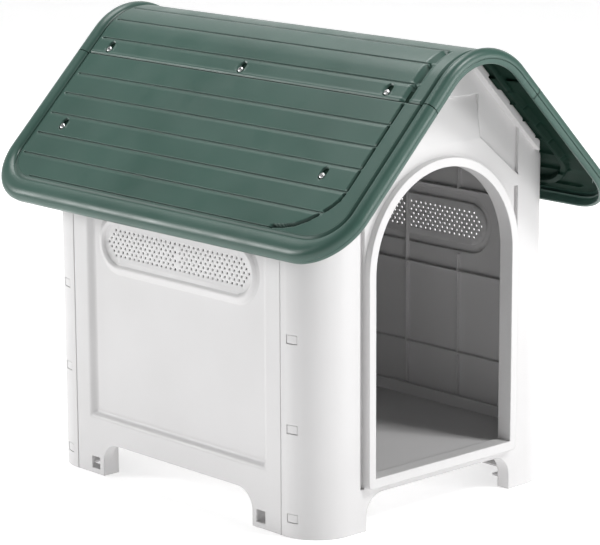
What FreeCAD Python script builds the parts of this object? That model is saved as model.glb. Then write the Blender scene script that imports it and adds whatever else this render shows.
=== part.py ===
"""A plastic dog kennel with a gable roof, as a parametric FreeCAD document.

Frame: millimetres, +Z up, the origin on the floor under the middle of the kennel.
The entrance faces -Y, the ridge runs along Y, and the kennel mirrors across the plane X = 0.
Eight mouldings snap and screw together: floor, front, rear, two sides, two roof slopes and a ridge cap.
"""

import FreeCAD, Part
import math
import os
import re

import Sketcher
from FreeCAD import Placement, Rotation, Vector

SIZES = {
    # body
    "body_width": 478.0,
    "body_depth": 578.0,
    "corner_flat": 4.0,
    "corner_radius": 63.0,
    "wall": 3.5,
    "seam_gap": 1.2,
    # roof section, measured square to the slope
    "ridge_height": 660.0,
    "ridge_radius": 107.0,
    "eave_overhang": 79.0,
    "roof_overhang": 86.0,
    "rim_depth": 21.0,
    "rim_proud": 4.0,
    "rim_wall": 4.0,
    "rim_round": 11.0,
    "roof_sheet": 3.5,
    "eave_corner": 85.0,
    "field_corner": 48.0,
    "front_border": 53.0,
    "rear_border": 30.0,
    "eave_border": 40.5,
    "rim_width": 24.0,
    "roof_seat": 0.4,
    # planks moulded in the roof
    "plank_count": 6.0,
    "groove_width": 2.6,
    "groove_depth": 1.6,
    "slot_width": 3.2,
    "slot_depth": 2.4,
    "cap_joint": 151.5,
    "joint_gap": 0.8,
    # feet and aprons
    "apron_height": 51.0,
    "foot_arch": 30.0,
    "side_foot": 59.0,
    "side_foot_depth": 28.0,
    "foot_clear": 8.0,
    "front_foot_depth": 21.0,
    # side panels
    "side_depth": 17.0,
    "recess_depth": 8.0,
    "recess_slope": 7.5,
    "recess_margin": 31.0,
    "recess_bottom": 87.0,
    "recess_top_drop": 22.0,
    "vent_drop": 101.6,
    "vent_margin": 95.5,
    "vent_foot": 46.5,
    "vent_crest": 37.0,
    "vent_lip": 35.0,
    "vent_plate": 28.0,
    "vent_rise": 5.0,
    "vent_sink": 1.0,
    "hole_diameter": 3.9,
    "hole_pitch": 10.0,
    "hole_row": 6.15,
    "rib_height": 6.0,
    "rib_thick": 2.4,
    "rib_margin": 115.0,
    "rib_row_low": 155.0,
    "rib_row_drop": 50.0,
    "hook_first": 27.75,
    "hook_pitch": 125.25,
    "hook_tall": 12.5,
    "hook_long": 16.5,
    "hook_reach": 11.5,
    "hook_sink": 10.5,
    "hook_face": 0.4,
    "tongue_tall": 26.0,
    "tongue_thick": 3.2,
    "hook_clear": 0.45,
    "lap_reach": 5.0,
    "lap_thick": 2.4,
    "lap_clear": 0.6,
    "anchor_square": 18.0,
    "anchor_inset": 32.0,
    "anchor_low": 8.0,
    # front panel
    "door_margin": 105.0,
    "door_sill": 75.0,
    "door_drop": 203.0,
    "trim_width": 12.5,
    "trim_sill": 14.0,
    "trim_proud": 10.0,
    "jamb_depth": 24.0,
    "trim_corner": 7.0,
    "gable_recess": 5.0,
    "gable_backing": 12.0,
    "gable_border": 9.5,
    "border_proud": 8.0,
    "border_reach": 190.0,
    "pillar_clear": 20.0,
    "portal_rise": 103.0,
    "groove_end": 16.0,
    "portal_neck_drop": 172.0,
    "portal_width": 154.0,
    "portal_crease_drop": 175.0,
    "portal_brow_drop": 112.0,
    "portal_lean": 10.0,
    "rear_field_bottom": 96.0,
    "rear_field_margin": 69.0,
    # floor
    "floor_top": 72.0,
    "floor_sheet": 4.0,
    "floor_lip": 90.0,
    "floor_skirt": 6.0,
    "floor_corner": 52.0,
    "floor_gap": 0.6,
    "ledge_reach": 12.0,
    "floor_rib_pitch": 88.0,
    # screws
    "screw_head": 9.0,
    "screw_head_tall": 3.0,
    "screw_shank": 4.0,
    "screw_length": 18.0,
    "screw_tip": 4.0,
    "screw_clear": 0.3,
    "screw_cross": 5.0,
    "screw_cross_wide": 1.1,
    "screw_pocket": 11.5,
    "screw_pocket_long": 17.0,
    "boss_radius": 7.0,
    "boss_length": 22.0,
    "eave_screw_inset": 37.0,
    "cap_screw_inset": 10.5,
    "screw_middle": 14.0,
    "ridge_screw_inset": 81.0,
    "front_screw_inset": 27.0,
    "rear_screw_outset": 5.0,
    "flange_width": 22.0,
    "flange_gap": 0.3,
    "cap_groove": 18.75,
}
PITCH = 45  # of both roof slopes, in degrees
HALF_TURN = Placement(Vector(), Rotation(Vector(0, 0, 1), 180))
TOLERANCE = 1e-6
FUNCTIONS = ("sqrt",)

# Expressions over the sheet that several pieces share.
APEX = "(ridge_height + (sqrt(2) - 1) * ridge_radius)"
RIDGE_CENTRE = "(ridge_height - ridge_radius)"
ROOF_UNDER = f"({APEX} - (rim_proud + roof_sheet) * sqrt(2))"
WALL_TOP = f"({ROOF_UNDER} - roof_seat * sqrt(2))"
WALL_RADIUS = "(ridge_radius - rim_proud - roof_sheet - roof_seat)"
SIDE_TOP = f"({WALL_TOP} - body_width / 2)"
HALF_WIDTH = "(body_width / 2)"
HALF_DEPTH = "(body_depth / 2)"
SEAM = "(body_depth / 2 - corner_radius - corner_flat)"
ROOF_CUT = "(ridge_height + body_width)"
SLOPE = "(body_width / sqrt(2) + eave_overhang)"
ROOF_HALF = "(body_depth / 2 + roof_overhang)"
FLANGE_TOP = "(-(rim_proud + roof_sheet + flange_gap))"
FLANGE_LOW = f"({FLANGE_TOP} - wall)"
FIELD_EAVE = f"({SLOPE} - eave_border)"
PLANK = f"(({FIELD_EAVE} - cap_joint) / plank_count)"
RECESS_HALF = f"({SEAM} - recess_margin)"
RECESS_TOP = f"({SIDE_TOP} - recess_top_drop)"
VENT_HALF = f"({SEAM} - vent_margin)"
VENT_HEIGHT = f"({SIDE_TOP} - vent_drop)"
RIB_COLUMN = f"({SEAM} - rib_margin)"
RIB_ROW = f"(({SIDE_TOP} - rib_row_drop - rib_row_low) / 2)"
HALF_DOOR = f"({HALF_WIDTH} - door_margin)"
DOOR_SPRING = f"({WALL_TOP} - door_drop - {HALF_DOOR})"
FRONT_SPAN = f"(2 * ({HALF_DOOR} + foot_clear))"
PILLAR = f"({HALF_DOOR} + pillar_clear)"
PORTAL_FOOT = f"({DOOR_SPRING} + portal_rise)"
PORTAL_NECK = f"({WALL_TOP} - portal_neck_drop)"
PORTAL_CREASE = f"({WALL_TOP} - portal_crease_drop)"
PORTAL_BROW = f"({WALL_TOP} - portal_brow_drop)"
EAVE_SCREW_LINE = f"(({HALF_WIDTH} - eave_screw_inset) * sqrt(2))"
BOSS_TOP = f"(({EAVE_SCREW_LINE} - rim_proud - roof_sheet - roof_seat) / sqrt(2))"
BOSS_IN_BEND = f"({BOSS_TOP} - {HALF_WIDTH} + corner_radius)"
WEB_ROOT = f"({HALF_DEPTH} - corner_radius + sqrt(corner_radius ^ 2 - {BOSS_IN_BEND} ^ 2) - wall / 3)"
RIDGE_SCREW_LINE = "(cap_joint - cap_screw_inset)"
EAVE_SCREWS = {
    "front": f"(-({HALF_DEPTH} - front_screw_inset))",
    "rear": f"({HALF_DEPTH} + rear_screw_outset)",
}
RIDGE_SCREWS = {
    "front": f"(screw_middle - ({ROOF_HALF} - ridge_screw_inset))",
    "middle": "(screw_middle)",
    "rear": f"(screw_middle + ({ROOF_HALF} - ridge_screw_inset))",
}

doc = FreeCAD.newDocument("DogKennel")
sheet = doc.addObject("Spreadsheet::Sheet", "Sizes")
for row, (alias, size) in enumerate(SIZES.items(), start=1):
    sheet.set(f"A{row}", alias)
    sheet.set(f"B{row}", str(size))
    sheet.setAlias(f"B{row}", alias)
doc.recompute()


def value(expression):
    """The number that an expression over the sheet's aliases gives."""
    return float(sheet.evalExpression(expression))


def bound(expression):
    """The same expression, with each alias named on the sheet."""
    def qualified(word):
        return word[0] if word[0] in FUNCTIONS else f"Sizes.{word[0]}"

    return re.sub(r"[a-z][a-z_]*", qualified, expression)


def bind(thing, **expressions):
    """Binds properties to the sheet; a double underscore in a name stands for a dot."""
    for path, expression in expressions.items():
        thing.setExpression(path.replace("__", "."), bound(expression))


# ---------------------------------------------------------------- sketches


def sketch_on(body, role, name, offset="0"):
    """A sketch on one of the body's own origin planes, shifted along the plane's normal."""
    plane = next(feature for feature in body.Origin.OriginFeatures if feature.Role == role)
    sketch = body.newObject("Sketcher::SketchObject", name)
    sketch.AttachmentSupport = [(plane, "")]
    sketch.MapMode = "FlatFace"
    sketch.setExpression("AttachmentOffset.Base.z", bound(offset))
    return sketch


def fix(sketch, axis, geometry, point, expression):
    """Holds one coordinate of a point at an expression over the sheet."""
    index = sketch.addConstraint(
        Sketcher.Constraint(f"Distance{axis}", -1, 1, geometry, point, value(expression))
    )
    sketch.setExpression(f"Constraints[{index}]", bound(expression))


def arc_between(start, end, centre):
    """The shorter arc from start to end, and the numbers of its end points in that order."""
    first = math.atan2(start[1] - centre[1], start[0] - centre[0])
    last = math.atan2(end[1] - centre[1], end[0] - centre[0])
    radius = math.hypot(start[0] - centre[0], start[1] - centre[1])
    circle = Part.Circle(Vector(*centre, 0), Vector(0, 0, 1), radius)
    if (last - first) % (2 * math.pi) < math.pi:
        return Part.ArcOfCircle(circle, first, last), (1, 2)
    return Part.ArcOfCircle(circle, last, first), (2, 1)


def outline(sketch, runs):
    """Draws one closed loop with every corner bound to the sheet.

    A run is (x, y), straight to that corner, or (x, y, centre x, centre y), an arc to it.
    """
    corners = [(value(run[0]), value(run[1])) for run in runs]
    drawn = []
    for index, run in enumerate(runs):
        start, end = corners[index - 1], corners[index]
        if len(run) == 2:
            drawn.append((sketch.addGeometry(Part.LineSegment(Vector(*start, 0), Vector(*end, 0))), (1, 2)))
        else:
            arc, ends = arc_between(start, end, (value(run[2]), value(run[3])))
            drawn.append((sketch.addGeometry(arc), ends))
    for index, (geometry, ends) in enumerate(drawn):
        after, after_ends = drawn[(index + 1) % len(drawn)]
        sketch.addConstraint(Sketcher.Constraint("Coincident", geometry, ends[1], after, after_ends[0]))
    for run, corner, (geometry, ends) in zip(runs, corners, drawn):
        axes = "XY"
        if len(run) == 4:
            fix(sketch, "X", geometry, 3, run[2])
            fix(sketch, "Y", geometry, 3, run[3])
            steep = abs(corner[1] - value(run[3])) > abs(corner[0] - value(run[2]))
            axes = "X" if steep else "Y"
        for axis in axes:
            fix(sketch, axis, geometry, ends[1], run["XY".index(axis)])


def rectangle(sketch, left, right, low, high):
    """Draws one bound rectangle."""
    outline(sketch, [(left, low), (right, low), (right, high), (left, high)])


def stadium(sketch, half_straight, middle, radius):
    """Draws a level stadium: two half rounds joined by straight runs."""
    right, left = f"({half_straight})", f"(-({half_straight}))"
    top, low = f"({middle}) + ({radius})", f"({middle}) - ({radius})"
    outline(sketch, [
        (left, low, left, middle),
        (right, low),
        (f"{right} + ({radius})", middle, right, middle),
        (right, top, right, middle),
        (left, top),
        (f"{left} - ({radius})", middle, left, middle),
    ])


# ---------------------------------------------------------------- features


def new_body(name):
    """An empty body."""
    return doc.addObject("PartDesign::Body", name)


def raise_pad(body, name, role, low, high, draw):
    """Adds material from low to high along the plane's normal, over the loops that draw makes."""
    sketch = sketch_on(body, role, f"{name}_sketch", low)
    draw(sketch)
    pad = body.newObject("PartDesign::Pad", name)
    pad.Profile = sketch
    bind(pad, Length=f"({high}) - ({low})")
    doc.recompute()
    return pad


def sink_pocket(body, name, role, low, high, draw):
    """Removes material from high down to low along the plane's normal, and tests that some went."""
    before = body.Shape.Volume
    sketch = sketch_on(body, role, f"{name}_sketch", high)
    draw(sketch)
    pocket = body.newObject("PartDesign::Pocket", name)
    pocket.Profile = sketch
    bind(pocket, Length=f"({high}) - ({low})")
    doc.recompute()
    if not body.Shape.Volume < before:
        raise RuntimeError(f"{body.Name}.{name} cuts nothing")
    return pocket


def loft(body, name, kind, role, sections):
    """A ruled loft, additive or subtractive, through (offset, draw) sections."""
    sketches = []
    for index, (offset, draw) in enumerate(sections):
        sketch = sketch_on(body, role, f"{name}_section{index}", offset)
        draw(sketch)
        sketches.append(sketch)
    feature = body.newObject(f"PartDesign::{kind}Loft", name)
    feature.Profile = sketches[0]
    feature.Sections = sketches[1:]
    feature.Ruled = True
    doc.recompute()
    return feature


def round_edges(body, name, radius, wanted):
    """Fillets the edges of the body's tip that the test picks."""
    tip = body.Tip
    edges = [f"Edge{i}" for i, edge in enumerate(tip.Shape.Edges, start=1) if wanted(edge)]
    fillet = body.newObject("PartDesign::Fillet", name)
    fillet.Base = (tip, edges)
    bind(fillet, Radius=radius)
    doc.recompute()
    return fillet


def cylinder(name, radius, length):
    """A bound cylinder at the origin, along +Z."""
    solid = doc.addObject("Part::Cylinder", name)
    bind(solid, Radius=radius, Height=length)
    return solid


def box(name, length, width, height):
    """A bound box with its low corner at the origin."""
    solid = doc.addObject("Part::Box", name)
    bind(solid, Length=length, Width=width, Height=height)
    return solid


def fuse(name, solids):
    """All the solids as one."""
    whole = doc.addObject("Part::MultiFuse", name)
    whole.Shapes = solids
    return whole


def cut(name, base, tool):
    """The base without the tool."""
    rest = doc.addObject("Part::Cut", name)
    rest.Base = base
    rest.Tool = tool
    return rest


def slope_placement(side, along, across, height):
    """Where a point of one roof slope lies in the kennel's frame.

    side is 1 for +X and -1 for -X, along is the way down the slope from the apex,
    across is Y, and height is square to the slope, 0 on the rim's crest.
    """
    turn = Rotation(Vector(0, 1, 0), side * PITCH)
    start = Vector(side * value(along), value(across), value(height))
    return Placement(Vector(0, 0, value(APEX)) + turn.multVec(start), turn)


# ---------------------------------------------------------------- walls

nodes = []


def finish(thing, label, placement=None):
    """Names a finished sub-part and sets it in its place."""
    thing.Label = label
    if placement is not None:
        thing.Placement = placement
    nodes.append(thing)


def foot_arch(span, rise, inset="0"):
    """The corners of the arch between two feet, left to right, pushed out by inset."""
    leg, out = f"({span}) / 2", f"({inset})"
    spring = f"({rise}) - foot_arch"
    return [
        (f"-({leg}) - {out}", spring),
        (f"-({leg}) + foot_arch", f"({rise}) + {out}", f"-({leg}) + foot_arch", spring),
        (f"({leg}) - foot_arch", f"({rise}) + {out}"),
        (f"({leg}) + {out}", spring, f"({leg}) - foot_arch", spring),
    ]


def arch_strip(sketch, span, rise, low):
    """Draws the lining of the arch between two feet, one wall thick."""
    leg = f"({span}) / 2"
    inner = foot_arch(span, rise)
    outer = foot_arch(span, rise, "wall")
    outline(sketch, [(f"-({leg}) - wall", low)] + outer + [(f"({leg}) + wall", low), (leg, low)]
            + reverse_runs(inner) + [(f"-({leg})", low)])


def reverse_runs(runs):
    """The same corners walked the other way, with each arc's centre kept."""
    corners = [run[:2] for run in runs][::-1]
    centres = [run[2:] for run in runs][1:][::-1]
    return [corners[0]] + [corner + centre for corner, centre in zip(corners[1:], centres)]


def side_outline(sketch, inset="0"):
    """Draws a side panel's outline with its two feet, pulled in by inset."""
    end = f"({SEAM} - seam_gap / 2 - ({inset}))"
    span = f"2 * ({SEAM} - seam_gap / 2 - side_foot)"
    low, leg = f"({inset})", f"(({span}) / 2 + ({inset}))"
    arch = foot_arch(span, "apron_height", inset)
    top = f"{SIDE_TOP} - ({inset})"
    outline(sketch, [(f"-{end}", low), (f"-{leg}", low)] + arch
            + [(leg, low), (end, low), (end, top), (f"-{end}", top)])


def recess_rectangle(sketch, grow):
    """Draws the recess of a side panel, grown or shrunk all round."""
    half = f"({RECESS_HALF} + ({grow}))"
    rectangle(sketch, f"-{half}", half, f"recess_bottom - ({grow})", f"{RECESS_TOP} + ({grow})")


def hook_heights():
    """The heights of the three snap hooks on each seam."""
    return [f"(hook_first + {index} * hook_pitch)" for index in range(3)]


def hook_plan(sign, tongue_face):
    """The plan of a hook's head, whose outer face follows the pillar's rounded corner."""
    near, far = "(hook_reach + hook_clear)", "(hook_reach + hook_long - hook_clear)"
    bend_x, bend_y = f"({HALF_WIDTH} - corner_radius)", f"({SEAM} + corner_flat)"
    radius = "(corner_radius - hook_face)"
    faces = [f"({bend_x} + sqrt({radius} * {radius} - ({away} - corner_flat) * ({away} - corner_flat)))"
             for away in (near, far)]
    return [
        (tongue_face, f"{sign}({SEAM} + {near})"),
        (faces[0], f"{sign}({SEAM} + {near})"),
        (faces[1], f"{sign}({SEAM} + {far})", bend_x, f"{sign}{bend_y}"),
        (tongue_face, f"{sign}({SEAM} + {far})"),
    ]


def side_ribs(sketch):
    """Draws the grid of ribs on a side panel's inner face."""
    half = "rib_thick / 2"
    end = f"({SEAM} - seam_gap / 2 - wall)"
    vent_low = f"({VENT_HEIGHT} - vent_foot)"
    top = f"({SIDE_TOP} - wall)"
    rows = [f"(rib_row_low + {index} * {RIB_ROW})" for index in range(3)]
    levels = ["floor_lip + floor_gap"] + rows
    for column in (f"-{RIB_COLUMN}", "0", RIB_COLUMN):
        for low, high in zip(levels, rows + [top]):
            start = low if low == levels[0] else f"{low} + {half}"
            end_at = high if high == top else f"{high} - {half}"
            if low == rows[1] and column != "0":
                rectangle(sketch, f"{column} - {half}", f"{column} + {half}", start, vent_low)
            else:
                rectangle(sketch, f"{column} - {half}", f"{column} + {half}", start, end_at)
    for row in rows:
        rectangle(sketch, f"-{end}", end, f"{row} - {half}", f"{row} + {half}")


def vent_holes():
    """Every hole of a vent as one shape: staggered rows inside the stadium, none at the middle rib."""
    diameter, pitch, row_pitch = value("hole_diameter"), value("hole_pitch"), value("hole_row")
    straight, radius = value(VENT_HALF), value("vent_plate - hole_diameter")
    start = value(f"{HALF_WIDTH} - recess_depth - wall - rib_height")
    rows = int(radius // row_pitch)
    holes = []
    for row in range(-rows, rows + 1):
        height = row * row_pitch
        reach = straight + math.sqrt(radius**2 - height**2)
        shift = pitch / 2 if row % 2 else pitch
        count = int((reach - shift) // pitch) + 1
        for place in [shift + index * pitch for index in range(count)]:
            for along in (-place, place):
                holes.append(Part.makeCylinder(diameter / 2, 2 * value("recess_depth"),
                                               Vector(start, along, value(VENT_HEIGHT) + height),
                                               Vector(1, 0, 0)))
    tool = doc.addObject("Part::Feature", "vent_holes")
    tool.Shape = Part.makeCompound(holes)
    return tool


def side_panel(label, holes, placement):
    """One side wall: a tray with two feet, a recessed field, a raised vent ring, ribs and snap hooks."""
    body = new_body(f"{label}_body")
    outer = HALF_WIDTH
    field = f"({outer} - recess_depth)"
    skin = f"({field} - wall)"
    back = f"({outer} - side_depth)"
    foot_back = f"({outer} - side_foot_depth)"
    end = f"({SEAM} - seam_gap / 2)"
    inner_end = f"({end} - wall)"
    raise_pad(body, "shell", "YZ_Plane", back, outer, side_outline)

    def feet(sketch, inset="0"):
        low = f"({inset})"
        near, far = f"({end} - side_foot + ({inset}))", f"({end} - ({inset}))"
        high = f"apron_height - ({inset})"
        rectangle(sketch, near, far, low, high)
        rectangle(sketch, f"-{far}", f"-{near}", low, high)

    raise_pad(body, "feet", "YZ_Plane", foot_back, back, feet)
    sink_pocket(body, "cavity", "YZ_Plane", back, skin, lambda sketch: side_outline(sketch, "wall"))
    sink_pocket(body, "foot_cavity", "YZ_Plane", foot_back, back, lambda sketch: feet(sketch, "wall"))

    def border(sketch):
        side_outline(sketch, "wall")
        recess_rectangle(sketch, "wall")

    sink_pocket(body, "border_cavity", "YZ_Plane", skin, f"({outer} - wall)", border)
    loft(body, "recess", "Subtractive", "YZ_Plane", [
        (outer, lambda sketch: recess_rectangle(sketch, "0")),
        (field, lambda sketch: recess_rectangle(sketch, "-recess_slope")),
    ])
    straight = VENT_HALF
    crest = f"({field} + vent_rise)"
    loft(body, "vent_ring", "Additive", "YZ_Plane", [
        (field, lambda sketch: stadium(sketch, straight, VENT_HEIGHT, "vent_foot")),
        (crest, lambda sketch: stadium(sketch, straight, VENT_HEIGHT, "vent_crest")),
    ])
    loft(body, "vent_bowl", "Subtractive", "YZ_Plane", [
        (crest, lambda sketch: stadium(sketch, straight, VENT_HEIGHT, "vent_lip")),
        (f"({field} - vent_sink)", lambda sketch: stadium(sketch, straight, VENT_HEIGHT, "vent_plate")),
    ])

    def ring_back(sketch):
        stadium(sketch, straight, VENT_HEIGHT, "vent_foot - wall")
        stadium(sketch, straight, VENT_HEIGHT, "vent_plate + wall")

    sink_pocket(body, "ring_back", "YZ_Plane", skin, f"({field} + vent_rise / 4)", ring_back)
    raise_pad(body, "ribs", "YZ_Plane", f"({skin} - rib_height)", skin, side_ribs)

    def ledge(sketch):
        rectangle(sketch, f"-{inner_end}", inner_end,
                  "floor_top - floor_sheet - wall", "floor_top - floor_sheet")

    raise_pad(body, "floor_ledge", "YZ_Plane", f"({back} - ledge_reach)", skin, ledge)

    tongue_face = f"({outer} - hook_sink)"
    in_bend = f"({tongue_face} - {HALF_WIDTH} + corner_radius)"
    reach = f"({SEAM} + corner_flat + sqrt((corner_radius - wall) ^ 2 - {in_bend} ^ 2) - hook_clear)"

    def tongues(sketch):
        for height in hook_heights():
            low, high = f"{height} - tongue_tall / 2", f"{height} + tongue_tall / 2"
            rectangle(sketch, inner_end, reach, low, high)
            rectangle(sketch, f"-{reach}", f"-{inner_end}", low, high)

    raise_pad(body, "tongues", "YZ_Plane", f"({tongue_face} - tongue_thick)", tongue_face, tongues)

    def heads(sketch):
        for sign in ("", "-"):
            outline(sketch, hook_plan(sign, tongue_face))

    for number, height in enumerate(hook_heights(), start=1):
        raise_pad(body, f"hook_heads_{number}", "XY_Plane", f"({height} - hook_tall / 2 + hook_clear)",
                  f"({height} + hook_tall / 2 - hook_clear)", heads)
    lap_face = f"({outer} - wall - lap_clear)"

    def laps(sketch):
        low, high = "foot_arch", f"({SIDE_TOP} - foot_arch)"
        reach = f"({SEAM} + lap_reach)"
        rectangle(sketch, inner_end, reach, low, high)
        rectangle(sketch, f"-{reach}", f"-{inner_end}", low, high)

    raise_pad(body, "seam_laps", "YZ_Plane", f"({lap_face} - lap_thick)", lap_face, laps)

    def anchors(sketch):
        far = f"({end} - anchor_inset)"
        near = f"({end} - anchor_inset - anchor_square)"
        high = "anchor_low + anchor_square"
        rectangle(sketch, near, far, "anchor_low", high)
        rectangle(sketch, f"-{far}", f"-{near}", "anchor_low", high)

    sink_pocket(body, "anchor_holes", "YZ_Plane", f"({outer} - 2 * wall)", outer, anchors)
    finish(cut(label, body, holes), label, placement)


def roof_profile(under, radius, drop_to, above):
    """The loop above a roof line: 45 degree slopes joined over the ridge by an arc."""
    tangent = f"(({radius}) / sqrt(2))"
    centre = f"(({under}) - ({radius}) * sqrt(2))"
    touch = f"({centre} + ({radius}) / sqrt(2))"
    far = f"(({under}) - ({drop_to}))"
    return [
        (far, drop_to),
        (tangent, touch),
        ("0", f"{centre} + ({radius})", "0", centre),
        (f"-{tangent}", touch, "0", centre),
        (f"-{far}", drop_to),
        (f"-{far}", above),
        (far, above),
    ]


def end_plan(sketch):
    """Draws the plan of an end panel: a wall that wraps round two big corners to the side seams."""
    seam = f"-({SEAM} + seam_gap / 2)"
    bend_x, bend_y = f"({HALF_WIDTH} - corner_radius)", f"(-({HALF_DEPTH} - corner_radius))"
    face, inner_face = f"-{HALF_DEPTH}", f"(-({HALF_DEPTH} - wall))"
    side, inner_side = HALF_WIDTH, f"({HALF_WIDTH} - wall)"
    outline(sketch, [
        (f"-{side}", seam),
        (f"-{side}", bend_y),
        (f"-{bend_x}", face, f"-{bend_x}", bend_y),
        (bend_x, face),
        (side, bend_y, bend_x, bend_y),
        (side, seam),
        (inner_side, seam),
        (inner_side, bend_y),
        (bend_x, inner_face, bend_x, bend_y),
        (f"-{bend_x}", inner_face),
        (f"-{inner_side}", bend_y, f"-{bend_x}", bend_y),
        (f"-{inner_side}", seam),
    ])


def pillar_base(sketch):
    """Draws the plan of the plate under each corner pillar."""
    bend_x, bend_y = f"({HALF_WIDTH} - corner_radius)", f"(-({HALF_DEPTH} - corner_radius))"
    leg = f"({FRONT_SPAN} / 2)"
    inner = f"(-({HALF_DEPTH} - front_foot_depth))"
    for sign in ("", "-"):
        outline(sketch, [
            (f"{sign}{leg}", f"-{HALF_DEPTH}"),
            (f"{sign}{bend_x}", f"-{HALF_DEPTH}"),
            (f"{sign}{HALF_WIDTH}", bend_y, f"{sign}{bend_x}", bend_y),
            (f"{sign}{bend_x}", bend_y),
            (f"{sign}{bend_x}", inner),
            (f"{sign}{leg}", inner),
        ])


def end_shell(body):
    """The parts that the front and rear panels share: walls, pillars, feet, gable border and snap windows."""
    raise_pad(body, "plan", "XY_Plane", "0", f"{WALL_TOP}", end_plan)
    raise_pad(body, "pillar_bases", "XY_Plane", "0", "wall", pillar_base)
    wall_in = f"({HALF_DEPTH} - wall)"
    backing = f"({HALF_DEPTH} - gable_backing)"
    half = f"({HALF_WIDTH} - corner_radius - 2 * wall)"

    def backing_plate(sketch):
        rectangle(sketch, f"-{half}", half, "apron_height", WALL_TOP)

    raise_pad(body, "backing", "XZ_Plane", backing, wall_in, backing_plate)
    raise_pad(body, "arch_lining", "XZ_Plane", f"({HALF_DEPTH} - front_foot_depth)", wall_in,
              lambda sketch: arch_strip(sketch, FRONT_SPAN, "apron_height", "wall"))

    def chevron(sketch):
        inner = f"({WALL_TOP} - gable_border * sqrt(2))"
        inner_radius = f"({WALL_RADIUS} - gable_border)"
        tangent = f"({inner_radius} / sqrt(2))"
        centre = f"({inner} - {inner_radius} * sqrt(2))"
        touch = f"({centre} + {inner_radius} / sqrt(2))"
        outline(sketch, [
            ("border_reach", f"{inner} - border_reach"),
            (tangent, touch),
            ("0", f"{centre} + {inner_radius}", "0", centre),
            (f"-{tangent}", touch, "0", centre),
            ("-border_reach", f"{inner} - border_reach"),
            ("-border_reach", WALL_TOP),
            ("border_reach", WALL_TOP),
        ])

    raise_pad(body, "gable_border", "XZ_Plane", wall_in, f"({HALF_DEPTH} + border_proud)", chevron)
    leg = f"({FRONT_SPAN} / 2)"

    def under_apron(sketch):
        outline(sketch, [(f"-{leg}", "0")] + foot_arch(FRONT_SPAN, "apron_height") + [(leg, "0")])

    sink_pocket(body, "apron_arch", "XZ_Plane", f"({HALF_DEPTH} - 2 * front_foot_depth)",
                f"({HALF_DEPTH} + trim_proud)", under_apron)

    def windows(sketch):
        near, far = f"(-({SEAM} + hook_reach))", f"(-({SEAM} + hook_reach + hook_long))"
        for height in hook_heights():
            rectangle(sketch, far, near, f"{height} - hook_tall / 2", f"{height} + hook_tall / 2")

    deep = f"({HALF_WIDTH} - hook_sink)"
    for name, low, high in (("windows_right", deep, HALF_WIDTH),
                            ("windows_left", f"-{HALF_WIDTH}", f"-{deep}")):
        sink_pocket(body, name, "YZ_Plane", low, high, windows)


def slope_point(sign, along, height):
    """X and Z of a point of a slope; along runs down the slope and height is square to it."""
    return f"{sign}((({along}) + ({height})) / sqrt(2))", f"({APEX} + (({height}) - ({along})) / sqrt(2))"


def trim_gable(body):
    """Cuts the top of an end panel to the roof's underside and notches it for the flanges under the cap."""
    sink_pocket(body, "gable_cut", "XZ_Plane", "0", f"({HALF_DEPTH} + 2 * trim_proud)",
                lambda sketch: outline(sketch, roof_profile(WALL_TOP, WALL_RADIUS,
                                                            f"({WALL_TOP} - body_width)", ROOF_CUT)))

    def notches(sketch):
        near, far = "(cap_joint - flange_width - joint_gap)", "(cap_joint + 2 * joint_gap + wall)"
        low = f"({FLANGE_LOW} - roof_seat)"
        for sign in ("", "-"):
            outline(sketch, [slope_point(sign, near, low), slope_point(sign, far, low),
                             slope_point(sign, far, "0"), slope_point(sign, near, "0")])

    sink_pocket(body, "flange_notches", "XZ_Plane", "0", f"({HALF_DEPTH} + 2 * trim_proud)", notches)


def floor_shelf(body):
    """The shelf on an end panel's inner face that the floor rests on."""
    half = f"({HALF_DOOR} - foot_arch)"
    backing = f"({HALF_DEPTH} - gable_backing)"
    raise_pad(body, "floor_shelf", "XZ_Plane", f"({backing} - ledge_reach)", backing,
              lambda sketch: rectangle(sketch, f"-{half}", half, "floor_top - floor_sheet - wall",
                                       "floor_top - floor_sheet"))


def with_bosses(label, body, depth, web_near, web_far, ridge_depth, placement):
    """Fuses a screw boss under each roof slope to an end panel and bores it, then places the panel.

    depth is how far the bosses stand from the kennel's middle, and a web spans web_near to web_far.
    ridge_depth is where the nearest pair of ridge screws runs, seen from this panel.
    """
    bosses, bores = [], []
    pilot = "screw_shank / 2 + screw_clear / 4"
    for side, name in ((1, "right"), (-1, "left")):
        start = "-(rim_proud + roof_sheet + roof_seat) - boss_length"
        boss = cylinder(f"{label}_boss_{name}", "boss_radius", "boss_length")
        boss.Placement = slope_placement(side, EAVE_SCREW_LINE, f"-({depth})", start)
        bore = cylinder(f"{label}_bore_{name}", pilot, "screw_length")
        bore.Placement = slope_placement(side, EAVE_SCREW_LINE, f"-({depth})",
                                         "-(rim_proud + roof_sheet) - screw_length + wall / 2")
        web = box(f"{label}_web_{name}", "wall", f"({web_far}) - ({web_near})", "boss_length")
        web_edge = f"{EAVE_SCREW_LINE} - {side} * wall / 2"
        web.Placement = slope_placement(side, web_edge, f"-({web_far})", start)
        bosses += [boss, web]
        ridge_bore = cylinder(f"{label}_ridge_bore_{name}", pilot, "screw_length")
        ridge_bore.Placement = slope_placement(side, RIDGE_SCREW_LINE, f"({ridge_depth})",
                                               "-(rim_proud + roof_sheet) - screw_length + wall / 2")
        bores += [bore, ridge_bore]
    whole = fuse(f"{label}_fused", [body] + bosses)
    finish(cut(label, whole, fuse(f"{label}_bores", bores)), label, placement)


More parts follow.
